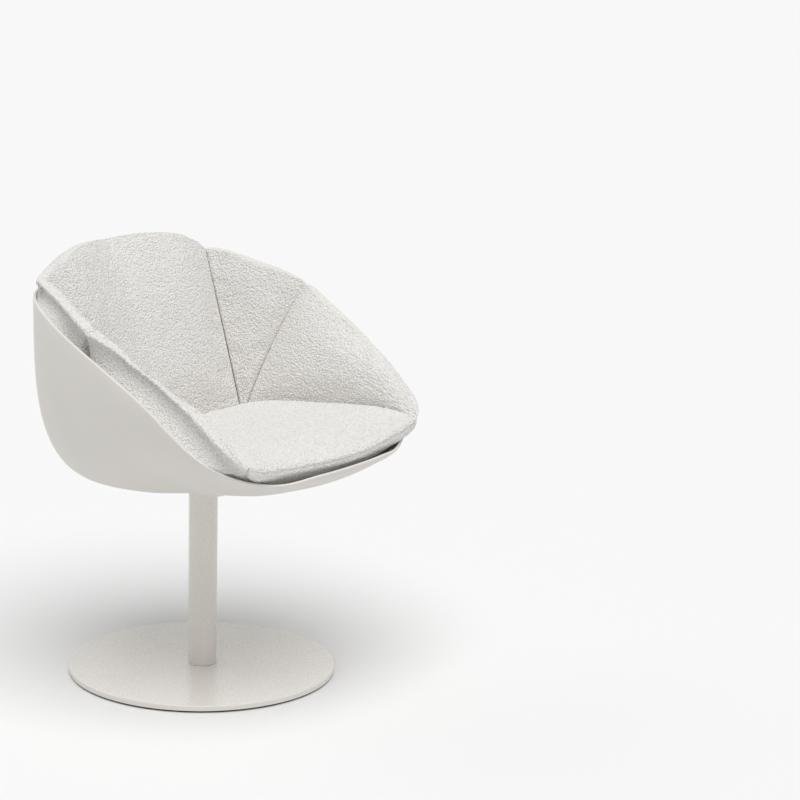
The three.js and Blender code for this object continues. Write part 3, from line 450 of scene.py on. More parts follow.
BOLT_SIDES, HEX_DEGREES = 48, 60
hexagon = 1 / np.cos(np.radians(np.arange(BOLT_SIDES) * 360 / BOLT_SIDES % HEX_DEGREES - HEX_DEGREES / 2))
head_top = WASHER_BOTTOM - HEAD_GAP
head_bottom = head_top - BOLT_HEAD_HEIGHT
dome = np.radians(np.linspace(8, 90, 7))
head_outline = np.concatenate([
    [[BOLT_HEAD_RADIUS * HEAD_FLAT, head_bottom]],
    np.column_stack([
        mix(BOLT_HEAD_RADIUS * DOME_START, BOLT_HEAD_RADIUS, np.sin(dome)),
        mix(head_top - HEAD_SKIRT, head_bottom, np.cos(dome)),
    ]),
    [[BOLT_HEAD_RADIUS, head_top - HEAD_EDGE], [BOLT_HEAD_RADIUS - HEAD_CHAMFER, head_top]],
    [[SHANK_RADIUS, head_top], [SHANK_RADIUS, SHANK_TOP]],
])
socket_outline = np.array([
    [SOCKET_RADIUS * SOCKET_FLOOR, head_bottom + SOCKET_DEPTH],
    [SOCKET_RADIUS, head_bottom + SOCKET_DEPTH],
    [SOCKET_RADIUS, head_bottom + HEAD_CHAMFER],
    [SOCKET_RADIUS * SOCKET_FLARE, head_bottom],
])
washer_outline = ring_outline(WASHER_BORE, WASHER_RADIUS, WASHER_BOTTOM, WASHER_TOP, [0.3] * 4)
bolt_rows = [turned_rows(socket_outline, BOLT_SIDES, hexagon), turned_rows(head_outline, BOLT_SIDES)]
bolt_rows, washer_rows = np.concatenate(bolt_rows), turned_rows(washer_outline, BOLT_SIDES)
for i, (x, y) in enumerate(bolt_places, 1):
    bolt = tube_mesh(f"seat_bolt_{i}", bolt_rows + [x, y, 0], poles=True)
    add_piece(bolt, "seat", "bare_steel", f"plate_bolt_{i}")
    washer = tube_mesh(f"seat_washer_{i}", washer_rows + [x, y, 0], poles=False)
    add_piece(washer, "seat", "bare_steel", f"plate_washer_{i}")
print("plate, bolts and washers at", bolt_places)

# %% [markdown]
# ## Moulded shell
# The shell is one moulding about 6 mm thick. Its rim climbs from the low front to the high back, and its
# wall runs from the flat floor up to the rim in a curve that is boxy at the back and lean in front. A
# table gives the rim's radius and height and the curve's power for each angle, and a superellipse gives
# the wall between. Outer wall, round lip and inner wall are one closed grid, so the moulding has a true
# thickness and a rim that catches the light.

# %% Shell curve
SHELL_WALL, SHELL_UNDERSIDE, FLAT_RADIUS = 6, 374, 99.98
RIM_SIDE_RADIUS, RIM_RISE = 334, 359
RIM_ANGLES = [0, 30, 60, 90, 110, 130, 147, 165, 180]
RIM_RADIUS_SHARES = [0.898, 0.896, 0.965, 1, 1.069, 1.155, 1.096, 1.052, 1.03]
RIM_HEIGHT_SHARES = [1, 0.995, 0.967, 0.795, 0.615, 0.323, 0.212, 0.22, 0.22]
CURVE_ANGLES = [0, 50, 90, 130, 180]
CURVE_POWERS = [3.0, 3.4, 2.4, 1.35, 1.6]


def rim_radius(degrees):
    return RIM_SIDE_RADIUS * smooth_table(RIM_ANGLES, RIM_RADIUS_SHARES, degrees)


def rim_height(degrees):
    return SHELL_UNDERSIDE + RIM_RISE * smooth_table(RIM_ANGLES, RIM_HEIGHT_SHARES, degrees)


def curve_power(degrees):
    return smooth_table(CURVE_ANGLES, CURVE_POWERS, degrees)


def shell_radius(degrees, z, inset):
    """Radius of the wall at a height: reach^n = 1 - (1 - rise)^n, from the flat floor to the rim."""
    low, high, power = SHELL_UNDERSIDE + inset, rim_height(degrees), curve_power(degrees)
    rise = np.clip((z - low) / (high - low), 0, 1)
    reach = (1 - (1 - rise) ** power) ** (1 / power)
    return mix(FLAT_RADIUS, rim_radius(degrees) - inset, reach)


def shell_level(x, y, inset):
    """Height of the wall over a place: the same curve, solved for rise."""
    degrees = np.degrees(np.arctan2(x, y))
    power = curve_power(degrees)
    reach = np.clip((np.hypot(x, y) - FLAT_RADIUS) / (rim_radius(degrees) - inset - FLAT_RADIUS), 0, 1)
    return mix(SHELL_UNDERSIDE + inset, rim_height(degrees), 1 - (1 - reach**power) ** (1 / power))


print("rim at back, side, front", rim_height(np.array([0, 90, 180])).round(1))

# %% Shell mesh
SHELL_COLUMNS, SHELL_ROWS, FLOOR_ROWS, LIP_STEPS = 200, 44, 5, 8
shell_degrees = np.arange(SHELL_COLUMNS) * 360 / SHELL_COLUMNS


def wall_rows(inset):
    """Rows of the wall from the floor up to just below the lip, closer together where it turns fastest."""
    angle = np.pi / 2 * np.linspace(0, 1, SHELL_ROWS + 1)[1:, None]
    power = curve_power(shell_degrees)
    rise, reach = 1 - np.cos(angle).clip(0) ** (2 / power), np.sin(angle) ** (2 / power)
    z = mix(SHELL_UNDERSIDE + inset, rim_height(shell_degrees) - SHELL_WALL / 2, rise)
    wall = polar(mix(FLAT_RADIUS, rim_radius(shell_degrees) - inset, reach), shell_degrees, z)
    floor_radius = np.linspace(0.1, 1, FLOOR_ROWS)[:, None] * FLAT_RADIUS
    return np.concatenate([polar(floor_radius, shell_degrees, SHELL_UNDERSIDE + inset), wall])


lip = SHELL_WALL / 2
lip_turn = np.linspace(0, np.pi, LIP_STEPS + 1)[1:-1, None]
lip_rows = polar(
    rim_radius(shell_degrees) - lip + lip * np.cos(lip_turn),
    shell_degrees,
    rim_height(shell_degrees) - lip + lip * np.sin(lip_turn),
)
shell_rows = np.concatenate([wall_rows(0), lip_rows, wall_rows(SHELL_WALL)[::-1]])
shell_mesh = tube_mesh("tub_shell", shell_rows, poles=True)
add_piece(shell_mesh, "seat", "shell", "seat_shell")
print("shell", len(shell_mesh.polygons), "faces")

# %% [markdown]
# ## Cushion lines
# The cushion is drawn by two lines. The edge seam runs round above the rim, stepping in and out of it, and
# the crease runs round the seat. A sewn strip folds over the edge from the edge seam in to an inner seam,
# and a band hangs from the edge seam down into the shell. Rim, crease and the places of the seams are the
# CAD's own values, and the edge seam was then set against the photograph, so every pad lies about where its
# solid lies.

# %% Tables by angle
# The edge seam by its angle from the back: how far it lies inside the rim's radius, and above the rim
EDGE_ANGLES = [0, 15, 30, 41, 51, 62, 72, 81, 90, 99, 108, 116, 124, 130, 136, 141, 152, 166, 180]
SETBACKS = [13, 17.5, 17.5, 12.5, 8, 17.5, 23, 16, 10, 22.5, 27.5, 28, 20.5, 3, -23, -19, 5, 10.5, 5.5]
STANDS = [42, 44, 41, 31, 27.5, 30.5, 30.5, 34, 35.5, 39, 41, 52, 61, 53, 34.5, 25, 24.5, 17.5, 18]
# The strip: its width, the height of its crest and of its inner seam
STRIP_ANGLES = [0, 20, 38, 46, 51.4, 64, 76, 88, 100, 109, 118, 127, 136, 139.5, 180]
STRIP_WIDTHS = [53, 54, 46, 30.5, 17.5, 19, 18.5, 18, 14.5, 11.5, 12.5, 20, 10, 3.5, 6.5]
CREST_HEIGHTS = [0, 0, 0, 0, 7, 4, 7, 8, 2, 2, 2, 7.5, 5, 4, 4.5]
SEAM_HEIGHTS = [23, 26, 28, 19, 6.5, 4, 3.5, 10, 3.5, -1.5, 1, 8, 5, 3, 3]
ROLL_ANGLES, ROLL_SHARES = [0, 38, 51.4, 180], [1, 1, 0, 0]
# From the inner seam out to the edge seam: inward share of the width, shares of the crest's and of the
# seam's height, then inward and up in millimetres, which make the hem
STRIP_PATH = np.array([
    [0.97, 0.02, 0.90, 0, 0], [0.84, 0.66, 0.45, 0, 0], [0.55, 1.0, 0.06, 0, 0], [0.28, 0.90, 0, 0, 0.5],
    [0.08, 0.55, 0, 0, 2.0], [0, 0.15, 0, 0.1, 2.4], [0, 0, 0, -0.3, 1.0], [0, 0, 0, 0.0, -0.4],
    [0, 0, 0, 1.4, -1.4], [0, 0, 0, 6.5, -1.7],
])
BACK_PATH = np.array([
    [0.90, 0, 0.97, 0, 0], [0.74, 0, 0.88, 0, 0], [0.58, 0, 0.75, 0, 0], [0.42, 0, 0.59, 0, 0],
    [0.27, 0, 0.41, 0, 0], [0.12, 0, 0.20, 0, 0.4], [0, 0, 0, -0.3, 0.8], [0, 0, 0, 0.0, -0.4],
    [0, 0, 0, 1.4, -1.4], [0, 0, 0, 4.5, -1.7],
])
UNDER_HEM = (7.0, -3.0)
FRONT_GAP = 5
GAP_ANGLES = [0, 108, 124, 136, 150, 180]
GAP_SHARES = [0, 0, 0.35, 1, 1, 0.6]
FOOT_ANGLES = [0, 70, 113, 126, 136, 180]
FOOT_SHARES = [0.1, 0.13, 0.33, 0.62, 1, 1]
LINING_CLEARANCE = 1.0
BACK_SEAM, ARM_SEAM, TIP = 51.4, 89.5, 139.5
CORNER = np.array([210.0, 77.0, 455.0])
BACK_BOW, BACK_DROP, ARM_BOW, TIP_INSET, TIP_RISE, WEDGE_FOOT = 24, 3, 8, 4.0, 4.5, 8
SEAM_BOW = 8
print("edge seam above the rim:", STANDS[0], "mm at the back,", STANDS[-1], "mm in front")

# %% Edge seam and strip
def edge_point(degrees):
    setback = smooth_table(EDGE_ANGLES, SETBACKS, degrees)
    stand = smooth_table(EDGE_ANGLES, STANDS, degrees)
    return polar(rim_radius(degrees) - setback, degrees, rim_height(degrees) + stand)


def outward_at(degrees):
    """Level unit vector square to the edge seam, away from the chair, and the unit vector up beside it."""
    along_edge = unit(edge_point(degrees + 1) - edge_point(degrees - 1))
    out = unit(np.stack([-along_edge[..., 1], along_edge[..., 0], 0 * along_edge[..., 0]], axis=-1))
    out = out * np.sign((out * polar(1, degrees, 0)).sum(-1))[..., None]
    up = np.cross(out, along_edge)
    return out, up * np.sign(up[..., 2:])


def beside_edge(degrees, inward, rise):
    out, up = outward_at(degrees)
    return edge_point(degrees) - out * np.asarray(inward)[..., None] + up * np.asarray(rise)[..., None]


def strip_sizes(degrees):
    """Width, crest height and inner seam height of the strip."""
    return [smooth_table(STRIP_ANGLES, values, degrees) for values in (STRIP_WIDTHS, CREST_HEIGHTS, SEAM_HEIGHTS)]


def inner_seam(degrees):
    width, _, seam_height = strip_sizes(degrees)
    return beside_edge(degrees, width, seam_height)


def strip_over(degrees):
    """Points over the strip at each angle: the sewn strip's path, which turns into the back's fat roll."""
    width, crest, seam_height = strip_sizes(degrees)
    roll = smooth_table(ROLL_ANGLES, ROLL_SHARES, degrees)
    points = []
    for strip, back in zip(STRIP_PATH, BACK_PATH):
        inward, of_crest, of_seam, hem_in, hem_up = (mix(a, b, roll) for a, b in zip(strip, back))
        rise = of_crest * crest + of_seam * seam_height + hem_up
        points.append(beside_edge(degrees, inward * width + hem_in, rise))
    return points


print("edge seam at the back", edge_point(0.0).round(1))

# %% Lining, crease and faces
def lining_point(degrees, share):
    """Back of the cushion on the shell: share 0 is the foot of a panel and 1 the foot of the band."""
    high = rim_height(degrees) + FRONT_GAP * smooth_table(GAP_ANGLES, GAP_SHARES, degrees)
    low = mix(SHELL_UNDERSIDE + SHELL_WALL, high, smooth_table(FOOT_ANGLES, FOOT_SHARES, degrees))
    z = mix(low, high, share)
    return polar(shell_radius(degrees, z, SHELL_WALL) - LINING_CLEARANCE, degrees, z)


def crease_point(place):
    """Crease round the seat: 0 behind the sitter, 1 at the corner and 2 at the arm's tip; a bow on a line."""
    s = np.abs(np.asarray(place, float))[..., None]
    bow = 1 - s**2
    behind = CORNER * [1, 0, 0] * s + CORNER * [0, 1, 1] + bow * [0, BACK_BOW, -BACK_DROP]
    tip = beside_edge(TIP, TIP_INSET, TIP_RISE)
    out = unit(np.array([CORNER[1] - tip[1], tip[0] - CORNER[0], 0]))
    beside = mix(CORNER, tip, s - 1) + out * ARM_BOW * 4 * (s - 1) * (2 - s)
    mirror = np.where(np.asarray(place)[..., None] < 0, [-1.0, 1, 1], 1.0)
    return np.where(s <= 1, behind, beside) * mirror


wedge_foot = 1 + WEDGE_FOOT / length(crease_point(1) - crease_point(2))
PANELS = {
    "back": ((-1, 1), (-BACK_SEAM, BACK_SEAM)),
    "wedge_left": ((1, wedge_foot), (BACK_SEAM, ARM_SEAM)),
    "arm_left": ((wedge_foot, 2), (ARM_SEAM, TIP)),
    "wedge_right": ((-wedge_foot, -1), (-ARM_SEAM, -BACK_SEAM)),
    "arm_right": ((-2, -wedge_foot), (-TIP, -ARM_SEAM)),
}


# The seam between wedge and arm bows a little towards the wedge, most at the middle of its height
seam_way = unit(inner_seam(BACK_SEAM) - inner_seam(ARM_SEAM))
SEAM_AT_START = {"wedge_left": False, "arm_left": True, "wedge_right": True, "arm_right": False}


def face_point(panel, a, u):
    """Straight line from the crease, at u = 0, to the inner seam, at u = 1, and the bow of its seam."""
    crease, edge_range = PANELS[panel]
    point = mix_points(crease_point(mix(*crease, a)), inner_seam(mix(*edge_range, a)), u)
    if panel not in SEAM_AT_START:
        return point
    bow = SEAM_BOW * 4 * u * (1 - u) * (1 - a if SEAM_AT_START[panel] else a) ** 2
    return point + seam_way * np.where(crease[0] < 0, [-1, 1, 1], 1) * np.asarray(bow)[..., None]


print("seat corner", crease_point(1).round(1), "arm tip", crease_point(2).round(1))

# %% [markdown]
# ## How a pad closes
# Each pad is a block of soft stuff in a sewn case: a face that the sitter leans on, a back that lies on the
# shell, and walls between the two. The face and the back are grids of the same size, and the walls are
# loops of points round them. Near a seam the fabric rolls over, so the grid's lines crowd there and the
# face sinks along a quarter circle: r - sqrt(r^2 - (r - d)^2) at a distance d from the seam.

# %% Pad helpers
CELL, ROLL_STEPS, WIDEST_ROLL = 7.8, 4, 0.42
PANEL_GAP, NUB_FADE = 1.2, 4.0
SIDE_ROLL, SIDE_SINK = 9.0, 5.5
SEAM_ROLL, SEAM_SINK, CREASE_SINK = 4.0, 4.0, 6.0


def spaced(width, roll_start, roll_end, cells):
    """Distances across a width: quarter-circle steps over the roll at each end, even steps between."""
    width = np.asarray(width, float)[..., None]
    theta = np.linspace(0, np.pi / 2, ROLL_STEPS + 1)
    start = np.minimum(roll_start, width * WIDEST_ROLL)
    end = np.minimum(roll_end, width * WIDEST_ROLL)
    middle = mix(start, width - end, np.linspace(0, 1, cells + 1)[1:-1])
    return np.concatenate([start * (1 - np.cos(theta)), middle, width - end * (1 - np.cos(theta))[::-1]], axis=-1)


def laid_out(size, width_at, height_at, rolls, gap=0.0):
    """Lines of a face grid, as shares and as distances across and up it, and its clear width and height,
    which are its own less the gap to its neighbours."""
    across, up = (int(side / CELL) for side in size)
    widths = width_at(spaced(size[1], *rolls, up) / size[1])[:, None]
    heights = height_at(spaced(size[0], SIDE_ROLL, SIDE_ROLL, across) / size[0])
    clear_width, clear_height = widths - gap, heights - gap / 2
    from_side = spaced(clear_width[:, 0], SIDE_ROLL, SIDE_ROLL, across)
    from_foot = spaced(clear_height, *rolls, up).T
    shares = (from_side + gap / 2) / widths, (from_foot + gap / 2) / heights
    return *shares, from_side, from_foot, clear_width, clear_height


def roll_share(distance, roll):
    """1 at the seam and 0 where the roll ends."""
    return np.clip(1 - distance / roll, 0, 1)


def sunk(shares):
    """How deep the fabric sinks, in rolls: 1 - sqrt(1 - q^2), where q^2 adds up the shares' squares."""
    return 1 - np.sqrt(1 - np.clip(sum(share**2 for share in shares), 0, 1))


def pillow(share, power=3.2):
    return 1 - np.abs(2 * share - 1) ** power


def steps_between(start, end, count):
    """Even steps from start to end, the two of them left out."""
    return mix(start, end, ((np.arange(count) + 1) / (count + 1))[:, None, None])


def border_of(rows, columns):
    """Row and column numbers round a grid, in order."""
    i, j = np.arange(rows), np.arange(columns)
    ring_rows = np.concatenate([0 * j[:-1], i[:-1], 0 * j[:0:-1] + rows - 1, i[:0:-1]])
    ring_columns = np.concatenate([j[:-1], 0 * i[:-1] + columns - 1, j[:0:-1], 0 * i[:0:-1]])
    return ring_rows, ring_columns


print("half way over a roll the fabric sinks by", sunk([0.5]).round(3), "of the roll")

# %% Pad mesh
pads = {}


def add_pad(name, face, walls, back, nubs, wall_nubs):
    """Adds a closed block from a face grid, loops of wall points and a back grid of the same size. The attribute
    nub says how high the nubs may stand at each point: in full on show, not at all within a seam."""
    rows, columns = face.shape[:2]
    size = rows * columns
    ring_rows, ring_columns = border_of(rows, columns)
    ring = ring_rows * columns + ring_columns
    loops = np.vstack([ring, 2 * size + np.arange(len(walls) * len(ring)).reshape(len(walls), -1), size + ring])
    wall_quads = loops.ravel()[grid_quads(*loops.shape)][:, [1, 0, 3, 2]]
    face_quads = grid_quads(rows, columns, wrap_columns=False)
    points = np.concatenate([face.reshape(-1, 3), back.reshape(-1, 3), walls.reshape(-1, 3)])
    mesh = mesh_from(f"{name}_pad", points, face_quads, size + face_quads[:, ::-1], wall_quads)
    share = np.concatenate([nubs.ravel(), np.zeros(size), np.broadcast_to(wall_nubs, walls.shape[:2]).ravel()])
    mesh.attributes.new("nub", "FLOAT", "POINT").data.foreach_set("value", share.astype(np.float32))
    piece = add_piece(mesh, "seat", "upholstery", f"{name}_cover", f"{name}_foam")
    pads[name] = {"piece": piece, "face": (rows, columns)}
    print(name, "pad has a face of", rows, "x", columns, "points")


print("a grid of 3 x 3 points has", len(border_of(3, 3)[0]), "points on its border")

# %% [markdown]
# ## The five wall panels
# A panel's face is ruled between the crease and the inner seam and swells by a crown in the middle. At
# a seam both faces sink towards the shell in the same way, so that two pads close the seam between
# them, and the wedge, pulled in by its seams, lies deeper than its neighbours. At the top the wall loops
# run over the sewn strip: up from the inner seam, over the crest, down to the edge seam, and on down the
# band, whose foot reaches the rim at the back and lies lower in the shell at the sides. At a panel's own
# sides the loops go straight back to the shell. Where two panels meet, the strip draws in a little, and
# under the seam between wedge and arm the wedge's band turns away in a dark notch, as on the real chair.

# %% Panel walls
# Crown, share of the side's sink, and the notch beside the arm's seam: how far it reaches along the edge,
# how deep the band turns away, and how far its foot drops
PANEL_FORMS = {"back": (15, 1, 1, 0, 0), "wedge": (2, 1.45, 26, 26, 0.80), "arm": (17, 1, 4, 1, 0.02)}
BAND_SHARES = np.array([0.02, 0.08, 0.17, 0.27, 0.38, 0.49, 0.60, 0.71, 0.82, 0.94])
BAND_HOLLOW = 8.5
DROP_ANGLES, BAND_DROPS = [0, 62, 84, 180], [0.0, 0.02, 0.12, 0.12]
STRIP_END_SHARE, STRIP_ROLL = 0.95, 6.0
GROOVE_ANGLES, GROOVE_SHARES = [0, 38, 47, 180], [0, 0, 1, 1]
NEAR_TOP, LINING_TURN = 10, 4


def strip_stations(degrees, drop):
    """Stations over the strip and down the band at each angle: the first axis is the station. The band's
    foot lies lower in the shell by the drop."""
    out, _ = outward_at(degrees)
    top_of_band, foot = beside_edge(degrees, *UNDER_HEM), lining_point(degrees, 1.0 - drop)
    band = [
        mix(top_of_band, foot, share) - out * BAND_HOLLOW * 4 * share * (1 - share)
        for share in BAND_SHARES
    ]
    return np.stack(strip_over(degrees) + band), foot


def panel_normal(panel):
    """Unit vector from the middle of the face towards the sitter, from its two diagonals."""
    a, b, c, d = (face_point(panel, np.array(p), np.array(q)) for p, q in ((0, 0), (1, 1), (1, 0), (0, 1)))
    normal = unit(np.cross(b - a, d - c))
    middle = face_point(panel, np.array(0.5), np.array(0.5))
    behind = lining_point(azimuth(middle), 0.5)
    return normal * np.sign(normal @ (middle - behind))


print("the back panel faces", panel_normal("back").round(2))

# %% Panel pads
def panel_pad(panel):
    """Face, walls and back of a panel, as arrays of points."""
    normal, edge_range = panel_normal(panel), PANELS[panel][1]
    crown, side_share, notch_reach, notch_depth, notch_drop = PANEL_FORMS[panel.split("_")[0]]
    width_at = lambda u: length(face_point(panel, 0 * u + 1, u) - face_point(panel, 0 * u, u))
    height_at = lambda a: length(face_point(panel, a, 0 * a + 1) - face_point(panel, a, 0 * a))
    shares = np.linspace(0, 1, 9)
    size = width_at(shares).max(), height_at(shares).max()
    a, u, from_side, from_crease, clear_width, clear_height = laid_out(
        size, width_at, height_at, (SIDE_ROLL, SEAM_ROLL), PANEL_GAP
    )
    at_edge = mix(*edge_range, a)

    side_roll, crease_roll = (np.minimum(SIDE_ROLL, clear * WIDEST_ROLL) for clear in (clear_width, clear_height))
    seam_roll = np.minimum(SEAM_ROLL, clear_height * WIDEST_ROLL)
    q_side = np.maximum(roll_share(from_side, side_roll), roll_share(clear_width - from_side, side_roll))
    q_crease = roll_share(from_crease, crease_roll)
    q_seam = roll_share(clear_height - from_crease, seam_roll)
    small = np.minimum(side_roll, crease_roll) / SIDE_ROLL
    groove = smooth_table(GROOVE_ANGLES, GROOVE_SHARES, at_edge)
    sink = small * (SIDE_SINK * side_share * sunk([q_side]) + CREASE_SINK * sunk([q_crease]))
    sink = sink + groove * SEAM_SINK * seam_roll / SEAM_ROLL * sunk([q_seam])
    from_arm_seam = np.abs(np.abs(at_edge) - ARM_SEAM) * np.radians(RIM_SIDE_RADIUS)
    closeness = roll_share(from_arm_seam, notch_reach)
    notch = closeness * (2 - closeness) * u**NEAR_TOP
    drop = smooth_table(DROP_ANGLES, BAND_DROPS, at_edge) + notch_drop * notch
    flat = face_point(panel, a, u)
    back = lining_point(mix(azimuth(flat), at_edge, u**LINING_TURN), u * (1 - drop))
    height = crown * pillow(a) * pillow(u)
    face = flat + normal * height[..., None] + unit(back - flat) * sink[..., None]

    ring = border_of(*a.shape)
    ring_edge = at_edge[ring]
    stations, foot = strip_stations(ring_edge, drop[ring])
    straight = steps_between(face[ring], back[ring], len(stations))
    chord = steps_between(inner_seam(ring_edge), foot, len(stations))
    on_top = ring[0] == a.shape[0] - 1
    from_seam = np.min([np.abs(np.abs(ring_edge) - seam) for seam in (BACK_SEAM, ARM_SEAM)], axis=0)
    pinch = mix(1, STRIP_END_SHARE, sunk([roll_share(from_seam * np.radians(RIM_SIDE_RADIUS), STRIP_ROLL)]))
    weight = pinch * np.where(on_top, 1, u[ring] ** NEAR_TOP)
    walls = straight + (stations - chord) * weight[:, None]
    along_band = np.concatenate([np.zeros(len(STRIP_PATH)), np.minimum(1, 4 * BAND_SHARES)])
    turned_in = along_band[:, None] * notch_depth * notch[ring]
    walls = walls - outward_at(ring_edge)[0] * turned_in[..., None]

    nubs = np.clip(np.minimum(from_side, clear_width - from_side) / NUB_FADE, 0, 1)
    return face, walls, back, nubs * np.clip(from_crease / NUB_FADE, 0, 1), nubs[ring] * on_top


for panel in PANELS:
    add_pad(panel, *panel_pad(panel))

# %% [markdown]
# ## The seat
# The seat pad has four sides in plan: the crease behind, the two creases along the arms and the front
# edge. A Coons patch fills them: the sum of the two ruled surfaces between opposite sides, less the
# bilinear patch of the corners. The crown is a product of three falls, one to the two sides, one to the
# front and one to the crease behind, so the seat is full almost to its border, and it stands a little
# higher in front. A narrow strip and a thin band close the front edge above the dark gap over the
# shell's lip. The band hangs a little lower on the sitter's left, as in the photograph.

# %% Seat outline
SEAT_CENTRE = np.array([0.0, -110.0])
FRONT_LEAN, FRONT_FOOT, FOOT_INSET, FOOT_SHARE = 6, 8, 2.5, 0.6
BAND_ENDS, FRONT_BANDS = [TIP, 152, 180, 360 - TIP], [20, 18, 14, 12]
CORNER_BLEND = 0.05
CREASE_RANGES = [(-1, 1), (-2, -1), (2, 1)]  # behind, on the sitter's right, on the sitter's left


def front_line(s, line):
    """A line along the front edge whose two ends are led into the tips of the crease."""
    points = line(mix(360 - TIP, TIP, s))
    ends = np.stack([crease_point(-2) - line(360.0 - TIP), crease_point(2) - line(TIP)])
    lead = [np.clip(1 - share / CORNER_BLEND, 0, 1) ** 2 for share in (s, 1 - s)]
    return points + np.stack(lead, -1) @ ends


def front_lip(degrees):
    """Foot of the front band: it hangs a little lower on the sitter's left, where the cushion has sagged."""
    drop = np.interp(degrees, BAND_ENDS, FRONT_BANDS)
    return edge_point(degrees) - drop[..., None] * [0, 0, 1]


def coons(s, t, front, behind, right_side, left_side):
    """(1-t) front + t behind + (1-s) right + s left, less the bilinear patch of the four corners."""
    s1, t1 = s[..., None], t[..., None]
    c00, c10 = front(np.zeros(1)), front(np.ones(1))
    c01, c11 = behind(np.zeros(1)), behind(np.ones(1))
    ruled = (1 - t1) * front(s) + t1 * behind(s) + (1 - s1) * right_side(t) + s1 * left_side(t)
    return ruled - ((1 - s1) * (1 - t1) * c00 + s1 * (1 - t1) * c10 + (1 - s1) * t1 * c01 + s1 * t1 * c11)


def to_centre(points, inward):
    """Moves points level towards the middle of the seat."""
    way = unit(SEAT_CENTRE - points[..., :2])
    return points + np.concatenate([way, 0 * way[..., :1]], axis=-1) * np.asarray(inward)[..., None]


def foot_under(points, place):
    """Foot of the pad below its border on the crease: part of the way to the shell, all of it at the tips."""
    share = mix(FOOT_SHARE, 1, np.maximum(0, np.abs(place) - 1) ** 2)
    return to_centre(mix_points(points, lining_point(azimuth(points), 0.0), share), FOOT_INSET)


seat_sides = [lambda s: front_line(s, inner_seam)]
foot_sides = [lambda s: front_line(s, lambda degrees: to_centre(front_lip(degrees), FRONT_LEAN + FRONT_FOOT))]
for ends in CREASE_RANGES:
    side = lambda s, ends=ends: to_centre(crease_point(mix(*ends, s)), PANEL_GAP / 2)
    seat_sides.append(side)
    foot_sides.append(lambda s, ends=ends, side=side: foot_under(side(s), mix(*ends, s)))
print("middle of the seat's front", seat_sides[0](np.array([0.5])).round(1))

# %% Seat pad
SEAT_CROWN_BACK, SEAT_CROWN_FRONT, SEAT_UNDERSIDE = 29, 32, 432
CLEAR_INSIDE, CLEAR_AT_FOOT = 2, 1.5
SEAT_SIDE_POWER, SEAT_FRONT_POWER, SEAT_BACK_POWER, UNDERSIDE_POWER = 22, 16, 11, 14
FRONT_CLEAR_DEGREES = 0.15
FRONT_SEAM_SINK, FRONT_BULGE = 1.2, 2.5
FRONT_HEM = (1.2, -3.0)
FRONT_BAND_SHARES, BAND_TURN = (0.06, 0.25, 0.6, 0.9), 0.3


def seat_crown(s, t):
    """Plump to all sides: (1 - |2s-1|^p) (1 - (1-t)^q) (1 - t^r), and higher in front than behind."""
    full = (1 - np.abs(2 * s - 1) ** SEAT_SIDE_POWER) * (1 - (1 - t) ** SEAT_FRONT_POWER) * (1 - t**SEAT_BACK_POWER)
    return mix(SEAT_CROWN_FRONT, SEAT_CROWN_BACK, t) * full


def seat_pad():
    """Face, walls and back of the seat, as arrays of points."""
    width_at = lambda t: length(seat_sides[3](t) - seat_sides[2](t))
    depth_at = lambda s: length(seat_sides[1](s) - seat_sides[0](s))
    half = np.array([0.5])
    s, t, from_right, from_front, widths, depths = laid_out(
        (width_at(half)[0], depth_at(half)[0]), width_at, depth_at, (SEAM_ROLL, SIDE_ROLL)
    )
    q_side = np.maximum(roll_share(from_right, SIDE_ROLL), roll_share(widths - from_right, SIDE_ROLL))
    q_back = roll_share(depths - from_front, SIDE_ROLL)
    q_front = roll_share(from_front, SEAM_ROLL)
    sink = CREASE_SINK * sunk([q_side, q_back]) + FRONT_SEAM_SINK * sunk([q_front])
    face = coons(s, t, *seat_sides)
    face[..., 2] += seat_crown(s, t) - sink

    back = coons(s, t, *foot_sides)
    lining = shell_level(back[..., 0], back[..., 1], SHELL_WALL)
    inner_share = (1 - np.abs(2 * s - 1) ** UNDERSIDE_POWER) * (1 - np.abs(2 * t - 1) ** UNDERSIDE_POWER)
    back[..., 2] = mix(back[..., 2], np.maximum(SEAT_UNDERSIDE, lining + CLEAR_INSIDE), inner_share)
    back[..., 2] = np.maximum(back[..., 2], lining + CLEAR_AT_FOOT)

    ring = border_of(*s.shape)
    degrees = mix(360 - TIP - FRONT_CLEAR_DEGREES, TIP + FRONT_CLEAR_DEGREES, s[ring])
    over = strip_over(degrees)[:-1]
    top_of_band = beside_edge(degrees, *FRONT_HEM)
    lip = to_centre(front_lip(degrees), FRONT_LEAN)
    out, _ = outward_at(degrees)
    band = [mix(top_of_band, lip, b) + out * FRONT_BULGE * 4 * b * (1 - b) for b in FRONT_BAND_SHARES]
    stations = np.stack(over + band + [mix(lip, back[ring], BAND_TURN)])
    in_front = (ring[0] == 0) * 1.0
    walls = mix_points(steps_between(face[ring], back[ring], len(stations)), stations, in_front)
    nubs = np.clip(np.minimum(from_right, widths - from_right) / NUB_FADE, 0, 1)
    return face, walls, back, nubs * np.clip((depths - from_front) / NUB_FADE, 0, 1), nubs[ring] * in_front


add_pad("seat", *seat_pad())

# %% [markdown]
# ## Stuffing
# Real wadding pushes the fabric out until the cloth is taut between its seams. Blender's Cloth does that:
# the seams, walls and back are pinned, gravity is off, a steady pressure pushes from inside, and a little
# spare cloth lets the face swell. All six pads are stepped together over 20 frames, no point may move
# further than the cap, and the result is written back into the mesh, so no Cloth is left.

